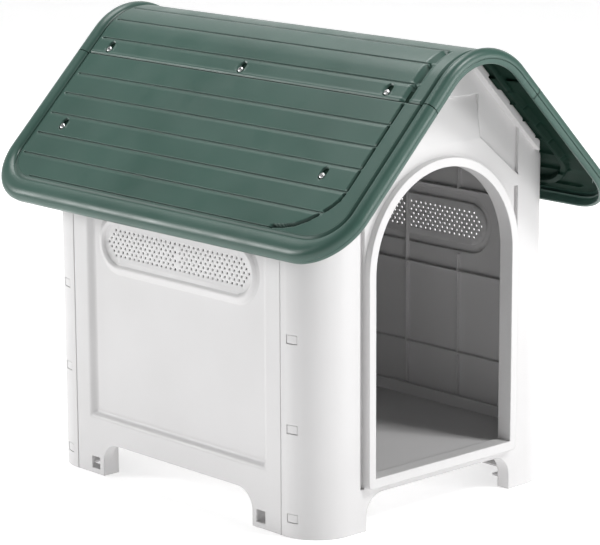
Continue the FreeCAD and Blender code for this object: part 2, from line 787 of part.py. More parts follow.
def front_panel():
    """The entrance wall: arched doorway with its proud trim, and a portal that leans back under the gable."""
    body = new_body("front_panel_body")
    end_shell(body)
    face = HALF_DEPTH
    half_door, half_trim = HALF_DOOR, f"({HALF_DOOR} + trim_width)"
    low = "(door_sill - trim_sill)"

    def trim(sketch):
        outline(sketch, [
            (f"-{half_trim}", f"{low} + trim_corner"),
            (f"-{half_trim} + trim_corner", low, f"-{half_trim} + trim_corner", f"{low} + trim_corner"),
            (f"{half_trim} - trim_corner", low),
            (half_trim, f"{low} + trim_corner", f"{half_trim} - trim_corner", f"{low} + trim_corner"),
            (half_trim, DOOR_SPRING),
            ("0", f"{DOOR_SPRING} + {half_trim}", "0", DOOR_SPRING),
            (f"-{half_trim}", DOOR_SPRING, "0", DOOR_SPRING),
        ])

    raise_pad(body, "door_trim", "XZ_Plane", f"({face} + trim_proud - jamb_depth)", f"({face} + trim_proud)",
              trim)
    inner = f"({WALL_TOP} - gable_border * sqrt(2))"
    pillar, neck = PILLAR, "(portal_width / 2)"

    def gable_field(sketch):
        crown_radius = f"({WALL_RADIUS} - gable_border)"
        tangent = f"({crown_radius} / sqrt(2))"
        centre = f"({inner} - {crown_radius} * sqrt(2))"
        touch = f"({centre} + {crown_radius} / sqrt(2))"
        outline(sketch, [
            (pillar, PORTAL_FOOT),
            (pillar, f"{inner} - {pillar}"),
            (tangent, touch),
            ("0", f"{centre} + {crown_radius}", "0", centre),
            (f"-{tangent}", touch, "0", centre),
            (f"-{pillar}", f"{inner} - {pillar}"),
            (f"-{pillar}", PORTAL_FOOT),
            (f"-{neck}", PORTAL_NECK),
            (f"-{neck}", PORTAL_BROW),
            (neck, PORTAL_BROW),
            (neck, PORTAL_NECK),
        ])

    sink_pocket(body, "gable_field", "XZ_Plane", f"({face} - gable_recess)", face, gable_field)

    def trim_grooves(sketch):
        top = f"({PORTAL_FOOT} - groove_end)"
        rectangle(sketch, half_trim, pillar, low, top)
        rectangle(sketch, f"-{pillar}", f"-{half_trim}", low, top)

    sink_pocket(body, "trim_grooves", "XZ_Plane", f"({face} - gable_recess)", face, trim_grooves)

    def lean(sketch):
        outline(sketch, [
            (f"-{face}", PORTAL_CREASE),
            (f"(-({face} - portal_lean))", PORTAL_BROW),
            (f"-{face}", PORTAL_BROW),
        ])

    sink_pocket(body, "portal_lean", "YZ_Plane", f"-{neck}", neck, lean)

    def doorway(sketch):
        outline(sketch, [
            (f"-{half_door}", "door_sill"),
            (half_door, "door_sill"),
            (half_door, DOOR_SPRING),
            ("0", f"{DOOR_SPRING} + {half_door}", "0", DOOR_SPRING),
            (f"-{half_door}", DOOR_SPRING, "0", DOOR_SPRING),
        ])

    sink_pocket(body, "doorway", "XZ_Plane", f"({face} - 2 * jamb_depth)", f"({face} + trim_proud)", doorway)
    floor_shelf(body)
    trim_gable(body)
    inset = f"({HALF_DEPTH} - front_screw_inset)"
    with_bosses("front_panel", body, inset, inset, WEB_ROOT, RIDGE_SCREWS["front"], Placement())


def rear_panel():
    """The closed end wall, with one recessed field that follows the gable."""
    body = new_body("rear_panel_body")
    end_shell(body)
    inner = f"({WALL_TOP} - gable_border * sqrt(2))"
    half = f"({HALF_WIDTH} - rear_field_margin)"

    def field(sketch):
        crown_radius = f"({WALL_RADIUS} - gable_border)"
        tangent = f"({crown_radius} / sqrt(2))"
        centre = f"({inner} - {crown_radius} * sqrt(2))"
        touch = f"({centre} + {crown_radius} / sqrt(2))"
        outline(sketch, [
            (half, "rear_field_bottom"),
            (half, f"{inner} - {half}"),
            (tangent, touch),
            ("0", f"{centre} + {crown_radius}", "0", centre),
            (f"-{tangent}", touch, "0", centre),
            (f"-{half}", f"{inner} - {half}"),
            (f"-{half}", "rear_field_bottom"),
        ])

    sink_pocket(body, "gable_field", "XZ_Plane", f"({HALF_DEPTH} - gable_recess)", HALF_DEPTH, field)
    floor_shelf(body)
    trim_gable(body)
    outset = f"({HALF_DEPTH} + rear_screw_outset)"
    with_bosses("rear_panel", body, outset, WEB_ROOT, outset, f"-{RIDGE_SCREWS['rear']}",
                HALF_TURN)


# ---------------------------------------------------------------- floor


def floor_panel():
    """The raised floor: a ribbed tray with a low lip along its two long sides."""
    body = new_body("floor_panel_body")
    half_x = f"({HALF_WIDTH} - side_depth - floor_gap)"
    half_y = f"({HALF_DEPTH} - jamb_depth + trim_proud - floor_gap)"

    def plate(sketch, inset="0"):
        corner_x, corner_y = f"({half_x} - floor_corner)", f"({half_y} - floor_corner)"
        edge_x, edge_y = f"({half_x} - ({inset}))", f"({half_y} - ({inset}))"
        outline(sketch, [
            (f"-{corner_x}", f"-{edge_y}", f"-{corner_x}", f"-{corner_y}"),
            (corner_x, f"-{edge_y}"),
            (edge_x, f"-{corner_y}", corner_x, f"-{corner_y}"),
            (edge_x, corner_y),
            (corner_x, edge_y, corner_x, corner_y),
            (f"-{corner_x}", edge_y),
            (f"-{edge_x}", corner_y, f"-{corner_x}", corner_y),
            (f"-{edge_x}", f"-{corner_y}"),
        ])

    low = "(floor_top - floor_sheet)"
    raise_pad(body, "plate", "XY_Plane", low, "floor_top", plate)

    def ribs(sketch):
        reach = f"({half_x} - ledge_reach - 2 * wall)"
        count = int(value(f"({half_y} - 2 * ledge_reach) / floor_rib_pitch"))
        for index in range(-count, count + 1):
            rectangle(sketch, f"-{reach}", reach, f"{index} * floor_rib_pitch - rib_thick / 2",
                      f"{index} * floor_rib_pitch + rib_thick / 2")

    raise_pad(body, "ribs", "XY_Plane", f"({low} - floor_skirt)", low, ribs)

    def lips(sketch):
        reach = f"({SEAM} - 2 * wall)"
        rectangle(sketch, f"{half_x} - wall", half_x, f"-{reach}", reach)
        rectangle(sketch, f"-{half_x}", f"-{half_x} + wall", f"-{reach}", reach)

    raise_pad(body, "side_lips", "XY_Plane", "floor_top", "floor_lip", lips)
    finish(body, "floor_panel", Placement())


# ---------------------------------------------------------------- roof


def rounded_slope(sketch, side, top, eave, front, rear, radius):
    """Draws a slope's outline: square at the ridge joint, rounded at both eave corners."""
    sign = "" if side > 0 else "-"
    bend = f"({eave} - ({radius}))"
    outline(sketch, [
        (f"{sign}{top}", f"-{front}"),
        (f"{sign}{bend}", f"-{front}"),
        (f"{sign}{eave}", f"-({front} - ({radius}))", f"{sign}{bend}", f"-({front} - ({radius}))"),
        (f"{sign}{eave}", f"({rear} - ({radius}))"),
        (f"{sign}{bend}", rear, f"{sign}{bend}", f"({rear} - ({radius}))"),
        (f"{sign}{top}", rear),
    ])


def slope_span(sketch, side, near, far, front, rear):
    """Draws a rectangle on a slope between two distances down it."""
    left, right = (near, far) if side > 0 else (f"-({far})", f"-({near})")
    rectangle(sketch, left, right, front, rear)


def screw_slot(sketch, side, along, across):
    """Draws the obround pocket that a roof screw's head sits in, longer up the slope."""
    sign = "" if side > 0 else "-"
    radius = "screw_pocket / 2"
    top = f"({along} - (screw_pocket_long - screw_pocket))"
    outline(sketch, [
        (f"{sign}{top}", f"{across} - {radius}", f"{sign}{top}", across),
        (f"{sign}{along}", f"{across} - {radius}"),
        (f"{sign}({along} + {radius})", across, f"{sign}{along}", across),
        (f"{sign}{along}", f"{across} + {radius}", f"{sign}{along}", across),
        (f"{sign}{top}", f"{across} + {radius}"),
        (f"{sign}({top} - {radius})", across, f"{sign}{top}", across),
    ])


def screw_hole(sketch, side, along, across):
    """Draws the clearance hole of a roof screw."""
    centre = Vector(side * value(along), value(across), 0)
    circle = Part.Circle(centre, Vector(0, 0, 1), value("screw_shank / 2"))
    geometry = sketch.addGeometry(circle)
    fix(sketch, "X", geometry, 3, along if side > 0 else f"-({along})")
    fix(sketch, "Y", geometry, 3, across)
    index = sketch.addConstraint(Sketcher.Constraint("Radius", geometry, value("screw_shank / 2")))
    sketch.setExpression(f"Constraints[{index}]", bound("screw_shank / 2 + screw_clear"))


def roof_slope(label, side):
    """One roof slope in its own flat frame: rim, lowered plank field, grooves, slots and screw pockets."""
    body = new_body(label)
    half = ROOF_HALF
    joint = "(cap_joint + joint_gap)"
    raise_pad(body, "block", "XY_Plane", "-rim_depth", "0",
              lambda sketch: rounded_slope(sketch, side, joint, SLOPE, half, half, "eave_corner"))
    round_edges(body, "rim_roll", "rim_round", lambda edge: is_rim_edge(edge, side, value(joint)))
    under = "-(rim_proud + roof_sheet)"
    sink_pocket(body, "underside", "XY_Plane", "-rim_depth", under,
                lambda sketch: rounded_slope(sketch, side, f"({joint} - wall)", f"({SLOPE} - rim_wall)",
                                             f"({half} - rim_wall)", f"({half} - rim_wall)",
                                             "eave_corner - rim_wall"))
    front, rear = f"({half} - rim_width)", f"({half} - rear_border)"
    sink_pocket(body, "field", "XY_Plane", "-rim_proud", "0",
                lambda sketch: rounded_slope(sketch, side, f"({joint} - wall)", f"({SLOPE} - rim_width)",
                                             front, rear, "field_corner"))

    def grooves(sketch):
        for index in range(1, int(value("plank_count"))):
            near = f"(cap_joint + {index} * {PLANK})"
            slope_span(sketch, side, near, f"{near} + groove_width",
                       f"-({half} - front_border) - slot_width", rear)
        eave_groove = FIELD_EAVE
        slope_span(sketch, side, eave_groove, f"{eave_groove} + groove_width",
                   f"-({half} - front_border - field_corner)", f"({rear} - field_corner)")

    sink_pocket(body, "grooves", "XY_Plane", "-(rim_proud + groove_depth)", "-rim_proud", grooves)

    def slots(sketch):
        for index in range(int(value("plank_count")) - 1):
            near = f"(cap_joint + {index} * {PLANK} + 2 * groove_width)"
            far = f"(cap_joint + {index + 1} * {PLANK})"
            edge = f"(-({half} - front_border))"
            slope_span(sketch, side, near, far, f"{edge} - slot_width", edge)

    sink_pocket(body, "plank_end_slots", "XY_Plane", "-(rim_proud + slot_depth)", "-rim_proud", slots)

    flange_end = f"({half} - rim_wall - joint_gap)"

    def flange(sketch):
        slope_span(sketch, side, "(cap_joint - flange_width)", f"({joint} + wall)",
                   f"-{flange_end}", flange_end)

    raise_pad(body, "cap_flange", "XY_Plane", FLANGE_LOW, FLANGE_TOP, flange)
    raise_pad(body, "cap_flange_root", "XY_Plane", FLANGE_LOW, under,
              lambda sketch: slope_span(sketch, side, joint, f"({joint} + wall)",
                                        f"-{flange_end}", flange_end))

    def pockets(sketch):
        for across in EAVE_SCREWS.values():
            screw_slot(sketch, side, EAVE_SCREW_LINE, across)

    sink_pocket(body, "screw_pockets", "XY_Plane", "-(rim_proud + roof_sheet / 2)", "0", pockets)

    def holes(sketch):
        for across in EAVE_SCREWS.values():
            screw_hole(sketch, side, EAVE_SCREW_LINE, across)
        for across in RIDGE_SCREWS.values():
            screw_hole(sketch, side, RIDGE_SCREW_LINE, across)

    sink_pocket(body, "screw_holes", "XY_Plane", "-rim_depth", "0", holes)
    finish(body, label, Placement(Vector(0, 0, value(APEX)), Rotation(Vector(0, 1, 0), side * PITCH)))


def is_rim_edge(edge, side, joint):
    """True for the edges of the slope's top face, except the one at the ridge joint."""
    low, high = edge.BoundBox.ZMin, edge.BoundBox.ZMax
    on_top = abs(low) < TOLERANCE and abs(high) < TOLERANCE
    reach = max(side * edge.BoundBox.XMin, side * edge.BoundBox.XMax)
    return on_top and reach > joint + 1


def ridge_section(sketch, outer, inner):
    """Draws the ridge cap's section between two depths square to the surface."""
    runs = []
    for depth, sign in ((outer, 1), (inner, -1)):
        radius = f"(ridge_radius - ({depth}))"
        touch_x = f"({radius} / sqrt(2))"
        touch_z = f"({RIDGE_CENTRE} + {radius} / sqrt(2))"
        foot_x = f"((cap_joint - ({depth})) / sqrt(2))"
        foot_z = f"({APEX} - (cap_joint + ({depth})) / sqrt(2))"
        right, left = ("", "-") if sign > 0 else ("-", "")
        runs += [
            (f"{right}{foot_x}", foot_z),
            (f"{right}{touch_x}", touch_z),
            ("0", f"{RIDGE_CENTRE} + {radius}", "0", RIDGE_CENTRE),
            (f"{left}{touch_x}", touch_z, "0", RIDGE_CENTRE),
            (f"{left}{foot_x}", foot_z),
        ]
    outline(sketch, runs)


def ridge_cap():
    """The ridge moulding: a rounded sheet with a rim at each end that laps both slopes."""
    body = new_body("ridge_cap_body")
    half = ROOF_HALF
    skin = "(rim_proud + roof_sheet)"
    raise_pad(body, "sheet", "XZ_Plane", f"-{half}", half,
              lambda sketch: ridge_section(sketch, "rim_proud", skin))
    for name, low, high in (("front_rim", f"({half} - rim_width)", half),
                            ("rear_rim", f"-{half}", f"(-({half} - rear_border))")):
        raise_pad(body, name, "XZ_Plane", low, high, lambda sketch: ridge_section(sketch, "0", skin))
    for name, low, high in (("front_skirt", f"({half} - rim_wall)", half),
                            ("rear_skirt", f"-{half}", f"(-({half} - rim_wall))")):
        raise_pad(body, name, "XZ_Plane", low, high, lambda sketch: ridge_section(sketch, "0", "rim_depth"))
    end = value(half)
    round_edges(body, "rim_roll", "rim_round", lambda edge: is_ridge_crest(edge, end))
    tools = cap_grooves()
    for side, hand in ((1, "right"), (-1, "left")):
        for place, across in RIDGE_SCREWS.items():
            hole = cylinder(f"cap_hole_{hand}_{place}", "screw_shank / 2 + screw_clear", "2 * rim_depth")
            hole.Placement = slope_placement(side, RIDGE_SCREW_LINE, across, "-rim_depth")
            tools.append(hole)
            tools += screw_well(f"cap_well_{hand}_{place}", side, across)
    finish(cut("ridge_cap", body, fuse("cap_tools", tools)), "ridge_cap", Placement())


def screw_well(name, side, across):
    """The solids of one obround pocket in the ridge cap: two rounds and the straight run between them."""
    floor, run = "-(rim_proud + roof_sheet / 2)", "(screw_pocket_long - screw_pocket)"
    low = cylinder(f"{name}_low", "screw_pocket / 2", "rim_depth")
    low.Placement = slope_placement(side, RIDGE_SCREW_LINE, across, floor)
    high = cylinder(f"{name}_high", "screw_pocket / 2", "rim_depth")
    high.Placement = slope_placement(side, f"{RIDGE_SCREW_LINE} - {run}", across, floor)
    middle = box(f"{name}_run", run, "screw_pocket", "rim_depth")
    start = f"{RIDGE_SCREW_LINE} - {run}" if side > 0 else RIDGE_SCREW_LINE
    middle.Placement = slope_placement(side, start, f"{across} - screw_pocket / 2", floor)
    return [low, high, middle]


def cap_grooves():
    """The grooves between the planks of the ridge cap, cut square to its rounded top."""
    grooves = []
    radius = value("ridge_radius - rim_proud - groove_depth")
    start = value(f"-({ROOF_HALF} - front_border)")
    for number in (1, 3, 5):
        for side, hand in ((1, "right"), (-1, "left")):
            groove = box(f"cap_groove_{hand}_{number}", "groove_width",
                         f"2 * {ROOF_HALF} - front_border - rear_border", "rim_proud")
            angle = min(number * value("cap_groove") / value("ridge_radius - rim_proud"), math.pi / 4)
            beyond = max(number * value("cap_groove") - value("ridge_radius - rim_proud") * math.pi / 4, 0)
            turn = Rotation(Vector(0, 1, 0), side * math.degrees(angle))
            place = turn.multVec(Vector(side * beyond - value("groove_width / 2"), start, radius))
            groove.Placement = Placement(Vector(0, 0, value(RIDGE_CENTRE)) + place, turn)
            grooves.append(groove)
    return grooves


def is_ridge_crest(edge, end):
    """True for the edges where an end rim's crest meets the end face."""
    if abs(abs(edge.CenterOfMass.y) - end) > TOLERANCE or edge.BoundBox.YLength > TOLERANCE:
        return False
    middle = edge.valueAt((edge.FirstParameter + edge.LastParameter) / 2)
    away = abs(middle.x)
    if away < value("ridge_radius / sqrt(2)") - TOLERANCE:
        height = math.sqrt(value("ridge_radius") ** 2 - away**2) + value(RIDGE_CENTRE)
    else:
        height = value(APEX) - away
    return abs(middle.z - height) < 1e-4


# ---------------------------------------------------------------- screws


def screw(label, placement):
    """A pan-head self-tapping screw along -Z, with the underside of its head at the origin."""
    body = new_body(f"{label}_body")
    sketch = sketch_on(body, "XZ_Plane", "section")
    crown = "screw_head / 2 - screw_head_tall * 2 / 3"
    outline(sketch, [
        ("0", "-screw_length"),
        ("screw_shank / 2", "-screw_length + screw_tip"),
        ("screw_shank / 2", "0"),
        ("screw_head / 2", "0"),
        ("screw_head / 2", "screw_head_tall / 3"),
        (crown, "screw_head_tall", crown, "screw_head_tall / 3"),
        ("0", "screw_head_tall"),
    ])
    turn = body.newObject("PartDesign::Revolution", "turned")
    turn.Profile = sketch
    turn.ReferenceAxis = (sketch, ["V_Axis"])
    turn.Angle = 360
    doc.recompute()

    def cross(drawing):
        arm, wide = "screw_cross / 2", "screw_cross_wide / 2"
        outline(drawing, [
            (f"-({arm})", f"-({wide})"), (f"-({wide})", f"-({wide})"), (f"-({wide})", f"-({arm})"),
            (wide, f"-({arm})"), (wide, f"-({wide})"), (arm, f"-({wide})"), (arm, wide), (wide, wide),
            (wide, arm), (f"-({wide})", arm), (f"-({wide})", wide), (f"-({arm})", wide),
        ])

    sink_pocket(body, "cross", "XY_Plane", "screw_head_tall / 3", "screw_head_tall", cross)
    finish(body, label, placement)


def screws():
    """The six screws of the ridge cap and the four above the eaves."""
    seat = "-(rim_proud + roof_sheet / 2)"
    for side, hand in ((-1, "left"), (1, "right")):
        for place, across in RIDGE_SCREWS.items():
            screw(f"ridge_screw_{hand}_{place}", slope_placement(side, RIDGE_SCREW_LINE, across, seat))
        for place, across in EAVE_SCREWS.items():
            screw(f"eave_screw_{hand}_{place}", slope_placement(side, EAVE_SCREW_LINE, across, seat))


# ---------------------------------------------------------------- build, test and write

holes = vent_holes()
floor_panel()
front_panel()
rear_panel()
side_panel("right_side_panel", holes, Placement())
side_panel("left_side_panel", holes, HALF_TURN)
roof_slope("roof_left_panel", -1)
roof_slope("roof_right_panel", 1)
ridge_cap()
screws()
doc.recompute()

for thing in doc.Objects:
    if "Invalid" in thing.State or "Error" in thing.State:
        raise RuntimeError(f"{thing.Label} failed: {thing.State}")
for node in nodes:
    if node.Shape.isNull() or not node.Shape.isValid() or len(node.Shape.Solids) != 1:
        raise RuntimeError(f"{node.Label} isn't one valid solid: {len(node.Shape.Solids)} solids")

os.makedirs("parts", exist_ok=True)
for node in nodes:
    node.Shape.exportStep(f"parts/{node.Label}.step")
    box_size = node.Shape.BoundBox
    print(f"{node.Label}: {node.Shape.Volume / 1000:.1f} cm3, "
          f"{box_size.XLength:.1f} x {box_size.YLength:.1f} x {box_size.ZLength:.1f} mm")
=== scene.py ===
"""The visual model of a small plastic dog kennel: green plank roof, pale snap-together walls, zinc screws.

Everything is in metres in the part's own frame: +Z up, the doorway facing -Y, the ridge along Y.
Roof shapes are worked out in millimetres on the slope: down it from the apex, across it, and square to it.
"""

import logging
import math
from dataclasses import dataclass, field
from enum import Enum
from typing import Callable, Iterable

import bpy
import numpy as np
from mathutils import Matrix, Vector


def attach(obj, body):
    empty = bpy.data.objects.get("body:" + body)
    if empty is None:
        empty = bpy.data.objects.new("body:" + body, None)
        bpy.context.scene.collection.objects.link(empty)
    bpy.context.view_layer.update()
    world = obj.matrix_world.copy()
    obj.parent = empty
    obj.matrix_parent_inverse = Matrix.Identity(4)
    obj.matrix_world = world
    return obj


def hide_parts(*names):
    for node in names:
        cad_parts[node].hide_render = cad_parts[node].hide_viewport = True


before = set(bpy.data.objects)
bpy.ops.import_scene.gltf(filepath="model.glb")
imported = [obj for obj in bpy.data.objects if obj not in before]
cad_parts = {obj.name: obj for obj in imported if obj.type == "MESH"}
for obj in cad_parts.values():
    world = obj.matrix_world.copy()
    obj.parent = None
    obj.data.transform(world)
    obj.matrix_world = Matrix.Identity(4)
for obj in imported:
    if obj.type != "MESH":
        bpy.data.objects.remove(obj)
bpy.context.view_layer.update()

MM = 0.001
LOG = logging.getLogger("kennel")
ROOF_WELD = 0.02 * MM
NODE_WELD = 0.01 * MM
SAME_SPOT = 0.02 * MM


class Side(Enum):
    """The two slopes of the roof; the value is the sign of X."""

    LEFT = -1
    RIGHT = 1


# ---------------------------------------------------------------- small helpers


def smooth(t: np.ndarray) -> np.ndarray:
    """An S-shaped ramp from 0 to 1 as t goes from 0 to 1, level at both ends."""
    t = np.clip(t, 0.0, 1.0)
    return t * t * (3.0 - 2.0 * t)


def spaced(low: float, high: float, step: float, wanted: Iterable[float] = ()) -> np.ndarray:
    """Sorted grid lines from low to high, no further apart than step, through every wanted value.

    Args:
        low: The first line.
        high: The last line.
        step: The widest gap allowed.
        wanted: Values that must be lines of their own.

    Returns:
        The lines in rising order.
    """
    stops = sorted({round(v, 4) for v in wanted if low < v < high} | {round(low, 4), round(high, 4)})
    lines: list[float] = []
    for start, end in zip(stops, stops[1:]):
        count = max(1, math.ceil((end - start) / step))
        lines += [start + (end - start) * k / count for k in range(count)]
    return np.array(lines + [stops[-1]])


@dataclass
class MeshDraft:
    """Vertices and faces gathered from several sheets before one mesh is made of them."""

    points: list[np.ndarray] = field(default_factory=list)
    faces: list[tuple[int, ...]] = field(default_factory=list)
    slots: list[int] = field(default_factory=list)
    count: int = 0

    def add_sheet(self, grid: np.ndarray, flip: bool = False, slot: int = 0) -> None:
        """Adds a rectangular net of points as quads.

        Args:
            grid: Points as rows x columns x 3, in metres.
            flip: Turns the faces over.
            slot: The material slot of the sheet's faces.
        """
        rows, cols = grid.shape[:2]
        index = np.arange(rows * cols).reshape(rows, cols) + self.count
        quads = np.stack([index[:-1, :-1], index[:-1, 1:], index[1:, 1:], index[1:, :-1]], axis=-1)
        quads = quads.reshape(-1, 4)
        if flip:
            quads = quads[:, ::-1]
        self.points.append(grid.reshape(-1, 3))
        self.faces += [tuple(q) for q in quads.tolist()]
        self.slots += [slot] * len(quads)
        self.count += rows * cols

    def build(self, name: str) -> bpy.types.Object:
        """Makes the object, with doubled points merged and every face smooth.

        Args:
            name: The name of the new piece.

        Returns:
            The new object, linked to the scene.
        """
        mesh = bpy.data.meshes.new(name)
        mesh.from_pydata(np.concatenate(self.points).tolist(), [], self.faces)
        mesh.polygons.foreach_set("material_index", self.slots)
        mesh.polygons.foreach_set("use_smooth", [True] * len(mesh.polygons))
        piece = bpy.data.objects.new(name, mesh)
        bpy.context.scene.collection.objects.link(piece)
        weld = piece.modifiers.new("weld", "WELD")
        weld.merge_threshold = ROOF_WELD
        return piece


# ---------------------------------------------------------------- finishes


class Nodes:
    """A short way to lay out a material's node tree."""

    def __init__(self, name: str) -> None:
        """Starts an empty material with a Principled shader.

        Args:
            name: The material's name.
        """
        self.material = bpy.data.materials.new(name)
        self.material.use_nodes = True
        self.tree = self.material.node_tree
        self.tree.nodes.clear()
        self.output = self.tree.nodes.new("ShaderNodeOutputMaterial")
        self.shader = self.add("ShaderNodeBsdfPrincipled")
        self.link(self.shader, "BSDF", self.output, "Surface")

    def add(self, kind: str, **settings: object) -> bpy.types.Node:
        """Adds a node and sets its properties.

        Args:
            kind: The node's type name.
            settings: Properties of the node and what they are set to.

        Returns:
            The new node.
        """
        node = self.tree.nodes.new(kind)
        for key, setting in settings.items():
            setattr(node, key, setting)
        return node

    def link(self, source: bpy.types.Node, output: str | int, target: bpy.types.Node,
             socket: str | int) -> None:
        """Joins one node's output to another's input."""
        self.tree.links.new(source.outputs[output], target.inputs[socket])

    def noise(self, scale: float, detail: float = 3.0, rough: float = 0.5) -> bpy.types.Node:
        """A noise texture in object space.

        Args:
            scale: Cells per metre.
            detail: How many finer layers are added.
            rough: How strong the finer layers are.

        Returns:
            The texture node.
        """
        place = self.add("ShaderNodeTexCoord")
        texture = self.add("ShaderNodeTexNoise")
        texture.inputs["Scale"].default_value = scale
        texture.inputs["Detail"].default_value = detail
        texture.inputs["Roughness"].default_value = rough
        self.link(place, "Object", texture, "Vector")
        return texture

    def ramp(self, low: float, high: float, start: float, end: float) -> bpy.types.Node:
        """A map from [low, high] to [start, end], clamped.

        Args:
            low: The input that gives start.
            high: The input that gives end.
            start: The first output.
            end: The last output.

        Returns:
            The map node.
        """
        node = self.add("ShaderNodeMapRange")
        sockets = {"From Min": low, "From Max": high, "To Min": start, "To Max": end}
        for socket, number in sockets.items():
            node.inputs[socket].default_value = number
        return node

    def mix(self, low: tuple[float, ...], high: tuple[float, ...]) -> bpy.types.Node:
        """A colour mix whose two ends are fixed.

        Args:
            low: The colour at 0.
            high: The colour at 1.

        Returns:
            The mix node.
        """
        node = self.add("ShaderNodeMix", data_type="RGBA")
        node.inputs[6].default_value = (*low, 1.0)
        node.inputs[7].default_value = (*high, 1.0)
        return node

    def bump(self, texture: bpy.types.Node, strength: float, distance: float,
             before: bpy.types.Node | None = None) -> bpy.types.Node:
        """A bump from a texture, on top of an earlier normal if there is one.

        Args:
            texture: The node that gives the height.
            strength: From 0 to 1.
            distance: The height's full range in metres.
            before: The node whose normal is built on.

        Returns:
            The bump node.
        """
        node = self.add("ShaderNodeBump")
        node.inputs["Strength"].default_value = strength
        node.inputs["Distance"].default_value = distance
        self.link(texture, 0, node, "Height")
        if before is not None:
            self.link(before, "Normal", node, "Normal")
        return node


@dataclass(frozen=True)
class MouldedPlastic:
    """Satin injection-moulded plastic: fine grain, slow flow marks and rubbed edges.

    Softness is the radius, in millimetres, that edges seem to be rounded by; heights are in metres and
    scales in cells per metre.
    """

    name: str
    colour: tuple[float, float, float]
    rubbed: tuple[float, float, float]
    dusty: tuple[float, float, float]
    roughness: float
    grain: float
    wear: float
    softness: float
    specular: float = 0.5
    flow_scale: float = 7.0
    scuff_scale: float = 160.0
    patch_scale: float = 16.0
    convex_from: float = 0.53
    convex_to: float = 0.62
    grain_scale: float = 1400.0
    grain_height: float = 0.00025
    sag_scale: float = 9.0
    sag_strength: float = 0.12
    sag_height: float = 0.0022

    def material(self) -> bpy.types.Material:
        """Builds the node tree.

        Returns:
            The finished material.
        """
        tree = Nodes(self.name)
        flow = tree.noise(self.flow_scale, 2.0)
        shade = tree.mix(self.dusty, self.colour)
        spread = tree.ramp(0.3, 0.62, 0.0, 1.0)
        tree.link(flow, 0, spread, 0)
        tree.link(spread, 0, shade, 0)
        scuffs = tree.noise(self.scuff_scale, 6.0, 0.65)
        patches = tree.noise(self.patch_scale, 3.0)
        geometry = tree.add("ShaderNodeNewGeometry")
        convex = tree.ramp(self.convex_from, self.convex_to, 0.0, self.wear)
        tree.link(geometry, "Pointiness", convex, 0)
        broken = tree.add("ShaderNodeMath", operation="MULTIPLY")
        tree.link(convex, 0, broken, 0)
        tree.link(scuffs, 0, broken, 1)
        worn = tree.mix(self.colour, self.rubbed)
        tree.link(shade, 2, worn, 6)
        tree.link(broken, 0, worn, 0)
        tree.link(worn, 2, tree.shader, "Base Color")
        gloss = tree.ramp(0.3, 0.7, self.roughness - 0.05, self.roughness + 0.07)
        tree.link(patches, 0, gloss, 0)
        tree.link(gloss, 0, tree.shader, "Roughness")
        rounded = tree.add("ShaderNodeBevel", samples=6)
        rounded.inputs["Radius"].default_value = self.softness * MM
        leather = tree.noise(self.grain_scale, 2.0)
        relief = tree.bump(leather, self.grain, self.grain_height, rounded)
        waves = tree.noise(self.sag_scale, 1.0)
        sag = tree.bump(waves, self.sag_strength, self.sag_height, relief)
        tree.link(sag, "Normal", tree.shader, "Normal")
        tree.shader.inputs["Specular IOR Level"].default_value = self.specular
        return tree.material


@dataclass(frozen=True)
class PlatedSteel:
    """Bright zinc plate with dull blotches and small scratches."""

    name: str = "zinc_plate"
    colour: tuple[float, float, float] = (0.86, 0.86, 0.85)
    dull: tuple[float, float, float] = (0.62, 0.63, 0.64)
    roughness: float = 0.24
    blotch_scale: float = 900.0
    scratch_scale: float = 2600.0

    def material(self) -> bpy.types.Material:
        """Builds the node tree.

        Returns:
            The finished material.
        """
        tree = Nodes(self.name)
        blotch = tree.noise(self.blotch_scale, 4.0)
        shade = tree.mix(self.dull, self.colour)
        tree.link(blotch, 0, shade, 0)
        tree.link(shade, 2, tree.shader, "Base Color")
        gloss = tree.ramp(0.3, 0.7, self.roughness - 0.06, self.roughness + 0.12)
        tree.link(blotch, 0, gloss, 0)
        tree.link(gloss, 0, tree.shader, "Roughness")
        scratch = tree.bump(tree.noise(self.scratch_scale, 2.0), 0.15, 0.0001)
        tree.link(scratch, "Normal", tree.shader, "Normal")
        tree.shader.inputs["Metallic"].default_value = 1.0
        return tree.material


@dataclass(frozen=True)
class StudioPaper:
    """The seamless white paper that the kennel stands on."""

    name: str = "studio_paper"
    colour: tuple[float, float, float] = (0.93, 0.93, 0.93)
    fibre: tuple[float, float, float] = (0.955, 0.955, 0.955)
    glow: float = 0.45
    fibre_scale: float = 40.0

    def material(self) -> bpy.types.Material:
        """Builds the node tree.

        Returns:
            The finished material.
        """
        tree = Nodes(self.name)
        shade = tree.mix(self.colour, self.fibre)
        tree.link(tree.noise(self.fibre_scale, 4.0), 0, shade, 0)
        tree.link(shade, 2, tree.shader, "Base Color")
        tree.shader.inputs["Roughness"].default_value = 0.9
        tree.shader.inputs["Specular IOR Level"].default_value = 0.1
        tree.shader.inputs["Emission Color"].default_value = (1.0, 1.0, 1.0, 1.0)
        tree.shader.inputs["Emission Strength"].default_value = self.glow
        return tree.material


WALL_PLASTIC = MouldedPlastic(
    name="pale_plastic", colour=(0.705, 0.697, 0.699), rubbed=(0.79, 0.785, 0.785),
    dusty=(0.68, 0.672, 0.672), roughness=0.42, grain=0.10, wear=0.5, softness=2.6)
ROOF_PLASTIC = MouldedPlastic(
    name="green_plastic", colour=(0.043, 0.100, 0.080), rubbed=(0.08, 0.17, 0.14),
    dusty=(0.038, 0.089, 0.071), roughness=0.35, grain=0.22, wear=0.55, softness=0.6)
# A near-black copy of the green roof plastic, with its sheen turned down, for the roof's undersides and the
# joint strips: painted shade standing in for the shadow the same plastic lies in there.
PAINTED_SHADE_PLASTIC = MouldedPlastic(
    name="green_plastic_core_side", colour=(0.005, 0.022, 0.014), rubbed=(0.014, 0.05, 0.036),
    dusty=(0.004, 0.018, 0.012), roughness=0.6, grain=0.3, wear=0.3, softness=0.6, specular=0.08)


# ---------------------------------------------------------------- roof

